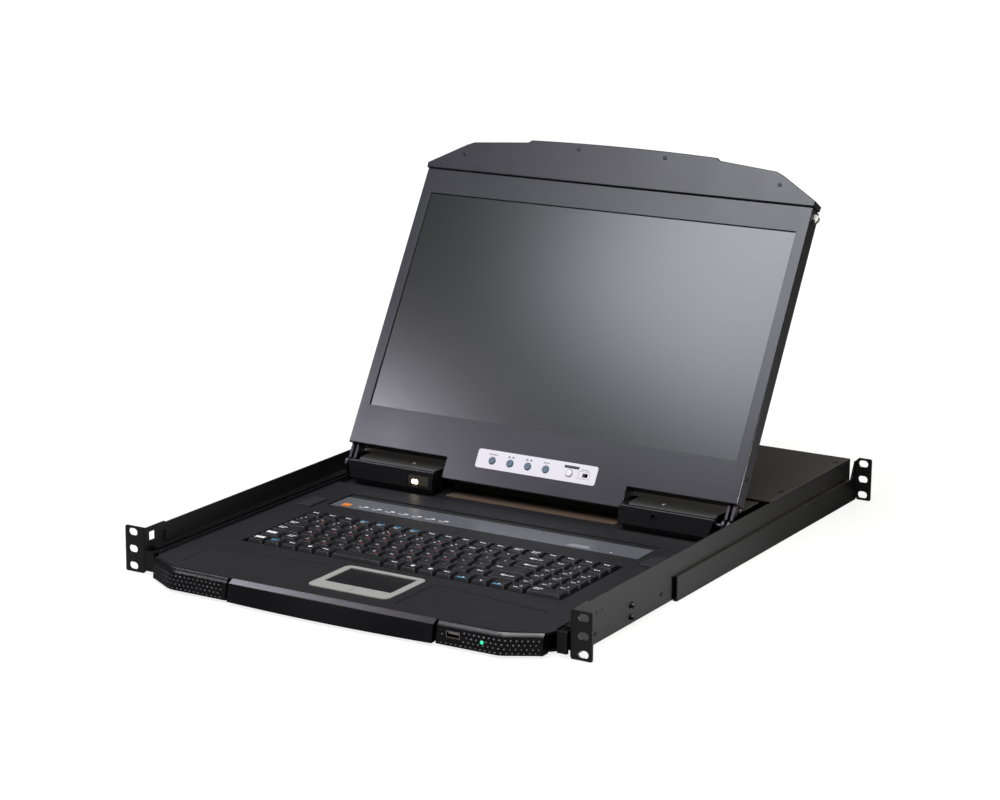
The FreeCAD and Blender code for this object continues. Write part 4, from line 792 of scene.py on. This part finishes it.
def bent(stations, x):
    """A line with a kink at the grip's corner, softened: the mean of eleven places up to 5 mm either side."""
    clipped = np.clip(x[:, None] + BEND, GRIP_IN, GRIP_OUT)
    return np.interp(clipped, GRIP_STATIONS, stations).mean(1)


def dimples(along, height):
    """Depth of the nearest dimple: one less the square of the distance over the radius, never below zero."""
    row = np.round(height / DIMPLE_ROW)
    shift = np.where(row % 2 == 0, 0.0, DIMPLE_PITCH / 2)
    across = (along + shift + DIMPLE_PITCH / 2) % DIMPLE_PITCH - DIMPLE_PITCH / 2
    away = np.hypot(across, height - row * DIMPLE_ROW) / DIMPLE_R
    inside = (row >= 0) & (row <= 3)
    return DIMPLE_DEPTH * np.clip(1 - away ** 2, 0, 1) ** 0.5 * inside


def grip(side, socket=None):
    """A grip on one side: +1 right, -1 left. socket is (x0, x1, z0, z1) of an opening in its front."""
    x = np.linspace(GRIP_IN, GRIP_OUT, 176)
    z = np.linspace(GRIP_LOW + 0.6 * MM, GRIP_SHOULDER - 0.3 * MM, 29)
    if socket:
        lines = np.array((-0.04, 0.04)) * MM
        x = np.sort(np.concatenate([x, socket[0] - lines, socket[1] + lines]))
        z = np.sort(np.concatenate([z, socket[2] - lines, socket[3] + lines]))
    foot, front, crest, edge, back = [bent(line, x) for line in
                                      (GRIP_FOOT, GRIP_FRONT, GRIP_CREST, GRIP_EDGE, GRIP_BACK)]
    share = (z - GRIP_LOW) / (GRIP_SHOULDER - GRIP_LOW)
    face = foot[:, None] + (front - foot)[:, None] * share
    path = np.concatenate([[0], np.cumsum(np.hypot(np.diff(x), np.diff(front)))])
    depth = dimples(path[:, None] - 5.5 * MM, z[None] - GRIP_LOW - 3.0 * MM)
    depth *= (path[:, None] > 4.0 * MM) & (path[:, None] < path[-1] - 2.2 * MM)
    if socket:
        inside = (x > socket[0])[:, None] & (x < socket[1])[:, None] & (z > socket[2]) & (z < socket[3])
        ring = 2.4 * MM
        near = ((x > socket[0] - ring) & (x < socket[1] + ring))[:, None] & (
            (z > socket[2] - ring) & (z < socket[3] + ring))
        depth = np.where(inside, 10 * MM, np.where(near, 0.0, depth))
    flat = np.ones_like(x)
    soft = 0.35 * MM
    outline = [(back, GRIP_LOW), (foot + soft * 2, GRIP_LOW), (foot + 0.2 * soft, GRIP_LOW + soft)]
    outline += list(zip((face + depth).T, z))
    outline += [(front + soft * 0.3, GRIP_SHOULDER), (crest - soft, GRIP_TOP - soft),
                (crest + soft, GRIP_TOP), (edge, GRIP_TOP), (edge, GRIP_SHOULDER), (back, GRIP_SHOULDER)]
    y = np.stack([line for line, _ in outline], 1)
    heights = np.stack([flat * height for _, height in outline], 1)
    points = np.stack([side * np.broadcast_to(x[:, None], y.shape), y, heights], -1)
    columns = points.shape[1]
    faces = grid_quads(len(x), columns, wrap_columns=True).tolist()
    faces += [list(range(columns)), list(range((len(x) - 1) * columns, len(x) * columns))[::-1]]
    name = "grip_right" if side > 0 else "grip_left"
    piece = make_piece(name + "_dimpled", points.reshape(-1, 3), faces, handle_abs, "drawer", (name,))
    print(name, "points:", len(piece.data.vertices))
    sharp_where_steep(piece)


def sharp_where_steep(piece, angle=35.0):
    """Mark edges sharper than an angle, so that shading breaks there."""
    piece.data.set_sharp_from_angle(angle=math.radians(angle))


usb_low, usb_high = low("usb_port"), high("usb_port")
grip(-1)
grip(1, (usb_low[0] - 0.3 * MM, usb_high[0] + 0.3 * MM, usb_low[2] - 0.3 * MM, usb_high[2] + 0.3 * MM))

# %% [markdown]
# A screw head is turned on a lathe and then struck by a cross-shaped punch. So its surface is a profile spun
# round an axis, and points under the cross are pushed down. Taller pins of plastic get only a rounded end.

# %% Screws and studs
SCREW_SIDES = 32
# share of the radius, share of the height, share of the cross's depth
HEAD_RINGS = np.array(((0.0, 0.0, 0), (1.0, 0.0, 0), (1.0, 0.45, 0), (0.93, 0.8, 0), (0.78, 0.97, 0),
                       (0.6, 1.0, 0), (0.55, 1.0, 1), (0.3, 1.0, 1), (0.0, 1.0, 1)))
AXES = (np.array((1.0, 0, 0)), np.array((0, 0, 1.0)), LCD_OUT)


def spun_head(part, outward):
    """A head over the points of one CAD screw: rings round its thin axis, with a cross or a round end."""
    extents = [np.ptp(part @ axis) for axis in AXES]
    axis = AXES[int(np.argmin(extents))]
    height = min(extents)
    centre = (part.min(0) + part.max(0)) / 2
    up = axis * (1.0 if outward(centre) @ axis > 0 else -1.0)
    right = np.cross(up, (0.0, 1.0, 0.0) if abs(up[1]) < 0.9 else (1.0, 0.0, 0.0))
    right /= np.linalg.norm(right)
    radius = np.ptp(part @ right) / 2
    radius_share, height_share, cross = [column[:, None] for column in HEAD_RINGS.T]
    turn = np.linspace(0, 2 * math.pi, SCREW_SIDES, endpoint=False)[None]
    arm = np.abs((turn / (math.pi / 2) + 0.5) % 1 - 0.5) < 0.16
    pressed = cross * arm * 0.55 * (height < 0.8 * radius)
    lift = (height_share - pressed) * height
    flat_r = radius * radius_share
    points = (centre - up * height / 2 + flat_r[..., None] * (np.cos(turn)[..., None] * right
              + np.sin(turn)[..., None] * np.cross(up, right)) + lift[..., None] * up)
    return points.reshape(-1, 3)


def screws(node, outward, material):
    """All heads of a node as one piece."""
    heads = [spun_head(part, outward) for part in loose_parts(node)]
    rings = len(HEAD_RINGS)
    quads = grid_quads(rings, SCREW_SIDES, wrap_columns=True)
    faces = np.concatenate([quads + number * rings * SCREW_SIDES for number in range(len(heads))])
    piece = make_piece(node + "_heads", np.concatenate(heads), faces, material, body_of(node), (node,))
    sharp_where_steep(piece)
    print(node, len(heads), "heads")


def off_the_frame(centre):
    """Outward from the rails at the sides, and up on the cover."""
    side = np.sign(centre[0])
    return np.array((side, 0, 0) if centre[2] < 12 * MM else (side * 0.01, 0, 1.0))


def off_the_display(centre):
    """Out of the display's face, and outward at its sides."""
    return LCD_OUT + np.array((np.sign(centre[0]) * 0.1, 0, 0))


screws("chassis_screws", off_the_frame, screw_steel)
screws("drawer_screws", off_the_frame, plated_steel)
screws("lcd_screws", off_the_display, screw_steel)

# %% [markdown]
# Small rounded blocks come back all over a console: push buttons, bumpers, a lamp lens. One function makes
# them: a stack of rounded rectangles that pulls in at the top over a quarter circle, with a crowned or a
# hollow end.

# %% Rounded blocks


def rounded_block(half_x, half_y, corner, z0, z1, edge, crown=0.0, arc=6):
    """Closed block about the origin: its sides rise from z0, roll over by edge and end at z1 + crown."""
    quarter = np.linspace(0, math.pi / 2, arc)
    turn = np.concatenate([quarter - math.pi / 2, quarter, quarter + math.pi / 2, quarter + math.pi])
    along, across = np.repeat((1, 1, -1, -1), arc), np.repeat((-1, 1, 1, -1), arc)
    roll = np.linspace(0, math.pi / 2, 5)
    inset = np.concatenate([[0, 0], edge * (1 - np.cos(roll)), [edge] * 3])
    height = np.concatenate([[z0, z0], z1 - edge + edge * np.sin(roll),
                             z1 + crown * np.array((0.5, 0.85, 1.0))])
    scale = np.concatenate([[0], np.ones(6), (0.7, 0.35, 0.0)])[:, None]
    radius = np.maximum(corner - inset, 0.15 * MM)[:, None]
    x = scale * (along * (half_x - inset[:, None] - radius) + radius * np.cos(turn))
    y = scale * (across * (half_y - inset[:, None] - radius) + radius * np.sin(turn))
    points = np.stack([x, y, height[:, None] + 0 * x], -1)
    return points.reshape(-1, 3), grid_quads(len(inset), 4 * arc, wrap_columns=True)


def on_display(points, middle_x=0.0, up=0.0, out=0.0):
    """From x across, y up the display's face and z out of it, to the drawer."""
    x, y, z = (np.asarray(points) + (middle_x, up, out)).T
    return HINGE_POINT + x[:, None] * (1, 0, 0) + y[:, None] * LCD_UP + z[:, None] * LCD_OUT


def face_place(node):
    """Centre of a node and its front, as x, up and out on the display."""
    corners = nodes[node].data
    points = np.array([vertex.co[:] for vertex in corners.vertices]) - HINGE_POINT
    up, out = points @ LCD_UP, points @ LCD_OUT
    return (points[:, 0].min() + points[:, 0].max()) / 2, (up.min() + up.max()) / 2, out.min(), out.max()


# %% [markdown]
# The control row is a white film with rounded corners. Four blue-grey caps stick out of it with slightly
# hollow ends, a white one switches the display, and a small slider sets its input. The marks beside them are
# plain signs.

# %% Control row
BUTTON_R = np.ptp(np.array(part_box("osd_button_1"))[:, 0]) / 2
for number in range(1, 5):
    name = "osd_button_%d" % number
    x, up, back, front = face_place(name)
    points, faces = rounded_block(BUTTON_R, BUTTON_R, BUTTON_R, back - front, 0, 0.6 * MM, -0.25 * MM, 10)
    make_piece(name + "_cap", on_display(points, x, up, front), faces, button_plastic, name, (name,))
x, up, back, front = face_place("lcd_power_button")
points, faces = rounded_block(BUTTON_R, BUTTON_R, BUTTON_R, back - front, 0, 0.5 * MM, 0.15 * MM, 10)
make_piece("lcd_power_button_cap", on_display(points, x, up, front), faces, white_plastic, "lcd_power_button",
           ("lcd_power_button",))

plate_front = face_place("control_plate")[3]
signs = Sheet()
for number in range(1, 5):
    x, up = [value / MM for value in face_place("osd_button_%d" % number)[:2]]
    signs.mark(disc(4.1, 24, 0.93), x, up, GREY)
    if number in (1, 4):
        word(signs, x - 5.0 if number == 1 else x - 3.6, up + 6.3, 10.0 if number == 1 else 6.5, GREY, 1.3)
    else:
        signs.mark(arrow(2.6, 0.8), x - 2.2, up + 6.3, DARK)
        signs.mark((arrow(2.6, 0.8)[0] * (-1, 1), [[6, 5, 4, 3, 2, 1, 0]]), x + 2.2, up + 6.3, DARK)
x, up = [value / MM for value in face_place("lcd_power_button")[:2]]
signs.mark(disc(4.2, 24, 0.92), x, up, GREY)
signs.mark(bar(16.0, 2.7), x + 1.5, up + 6.3, DARK)
for number in range(5):
    signs.mark(bar(1.6, 1.1), x - 4.4 + 2.8 * number, up + 6.3, GREY)
x, up = [value / MM for value in face_place("lcd_mode_switch")[:2]]
SWITCH_FRAME = ((0, 3.6, 12, 0.35), (0, -3.6, 12, 0.35), (-6, 0, 0.35, 7.2), (6, 0, 0.35, 7.2))
for offset_x, offset_up, width, height in SWITCH_FRAME:
    signs.mark(bar(width, height), x + offset_x, up + offset_up, GREY)
word(signs, x - 4.0, up + 5.2, 8.0, GREY, 0.9)


def on_control_plate(marks):
    """Marks in millimetres, just over the film."""
    return on_display(np.column_stack([marks * MM, np.full(len(marks), plate_front + INK_LIFT * MM)]))


signs.print_on("control_row_signs", "lcd", on_control_plate)

# %% [markdown]
# Between the keys and the hinge lies a film with printed signs: an orange switch mark at the left, seven
# pairs of small white ones, and a paler patch at the right.

# %% Indicator strip, pads on the deck and lamps
STRIP = low("indicator_panel") / MM, high("indicator_panel") / MM
strip = Sheet()
left, front = STRIP[0][0], STRIP[0][1]
strip.mark(bar(9.0, 7.5), left + 13.5, front + 9.0, ORANGE)
strip.mark(bar(9.0, 1.2), left + 14.0, front + 3.6, RED)
for number in range(7):
    x = left + 28.5 + 15.0 * number
    strip.mark(disc(1.3, 10, 0.5), x, front + 8.5, WHITE)
    strip.mark(bar(3.4, 1.0), x + 3.6, front + 7.2, WHITE)
    strip.mark(bar(4.6, 2.6), x + 6.0, front + 10.6, WHITE)
right = STRIP[1][0]
PALE_PATCH = np.array(((-13, -3.5), (12, -3.5), (8, 3.5), (-9, 3.5))), [[0, 1, 2, 3]]
strip.mark(PALE_PATCH, right - 64.0, front + 7.5, GREY)
strip.mark(bar(2.0, 1.6), right - 45.0, front + 9.5, DARK)
strip.mark(bar(5.0, 0.9), right - 32.0, front + 10.5, DARK)
strip.mark(bar(2.0, 1.2), right - 30.0, front + 5.0, WHITE)
strip.print_on("indicator_signs", "drawer", lambda marks: np.column_stack([
    marks * MM, np.full(len(marks), high("indicator_panel")[2] + INK_LIFT * MM)]))

BUMPER_X, BUMPER_Y = 185 * MM, 215 * MM
deck_top = high("keyboard_deck")[2]
for side, name in ((-1, "deck_bumper_left"), (1, "deck_bumper_right")):
    points, faces = rounded_block(8 * MM, 15 * MM, 2.5 * MM, -0.1 * MM, 1.1 * MM, 0.5 * MM)
    make_piece(name, points + (side * BUMPER_X, BUMPER_Y, deck_top), faces, foot_rubber, "drawer")

led = middle("power_led")
led_face = np.interp(led[2], (GRIP_LOW, GRIP_SHOULDER), (GRIP_FOOT[0], GRIP_FRONT[0]))
points, faces = rounded_block(1.6 * MM, 1.6 * MM, 1.6 * MM, -0.6 * MM, 0.5 * MM, 0.5 * MM, 0.2 * MM, 8)
lens = np.column_stack([points[:, 0] + led[0], led_face + 0.4 * MM - points[:, 2], points[:, 1] + led[2]])
make_piece("power_led_lens", lens, faces, green_lens, "drawer", ("power_led",))

lamp_low = low("reading_lamp")
points, faces = rounded_block(3.6 * MM, 2.3 * MM, 1.6 * MM, -0.5 * MM, 0.5 * MM, 0.4 * MM, 0.3 * MM)
bulb = np.column_stack([points[:, 0] + lamp_low[0] + 7.5 * MM, lamp_low[1] - points[:, 2],
                        points[:, 1] + lamp_low[2] + 3.2 * MM])
make_piece("lamp_bulb", bulb, faces, lamp_glow, "drawer")
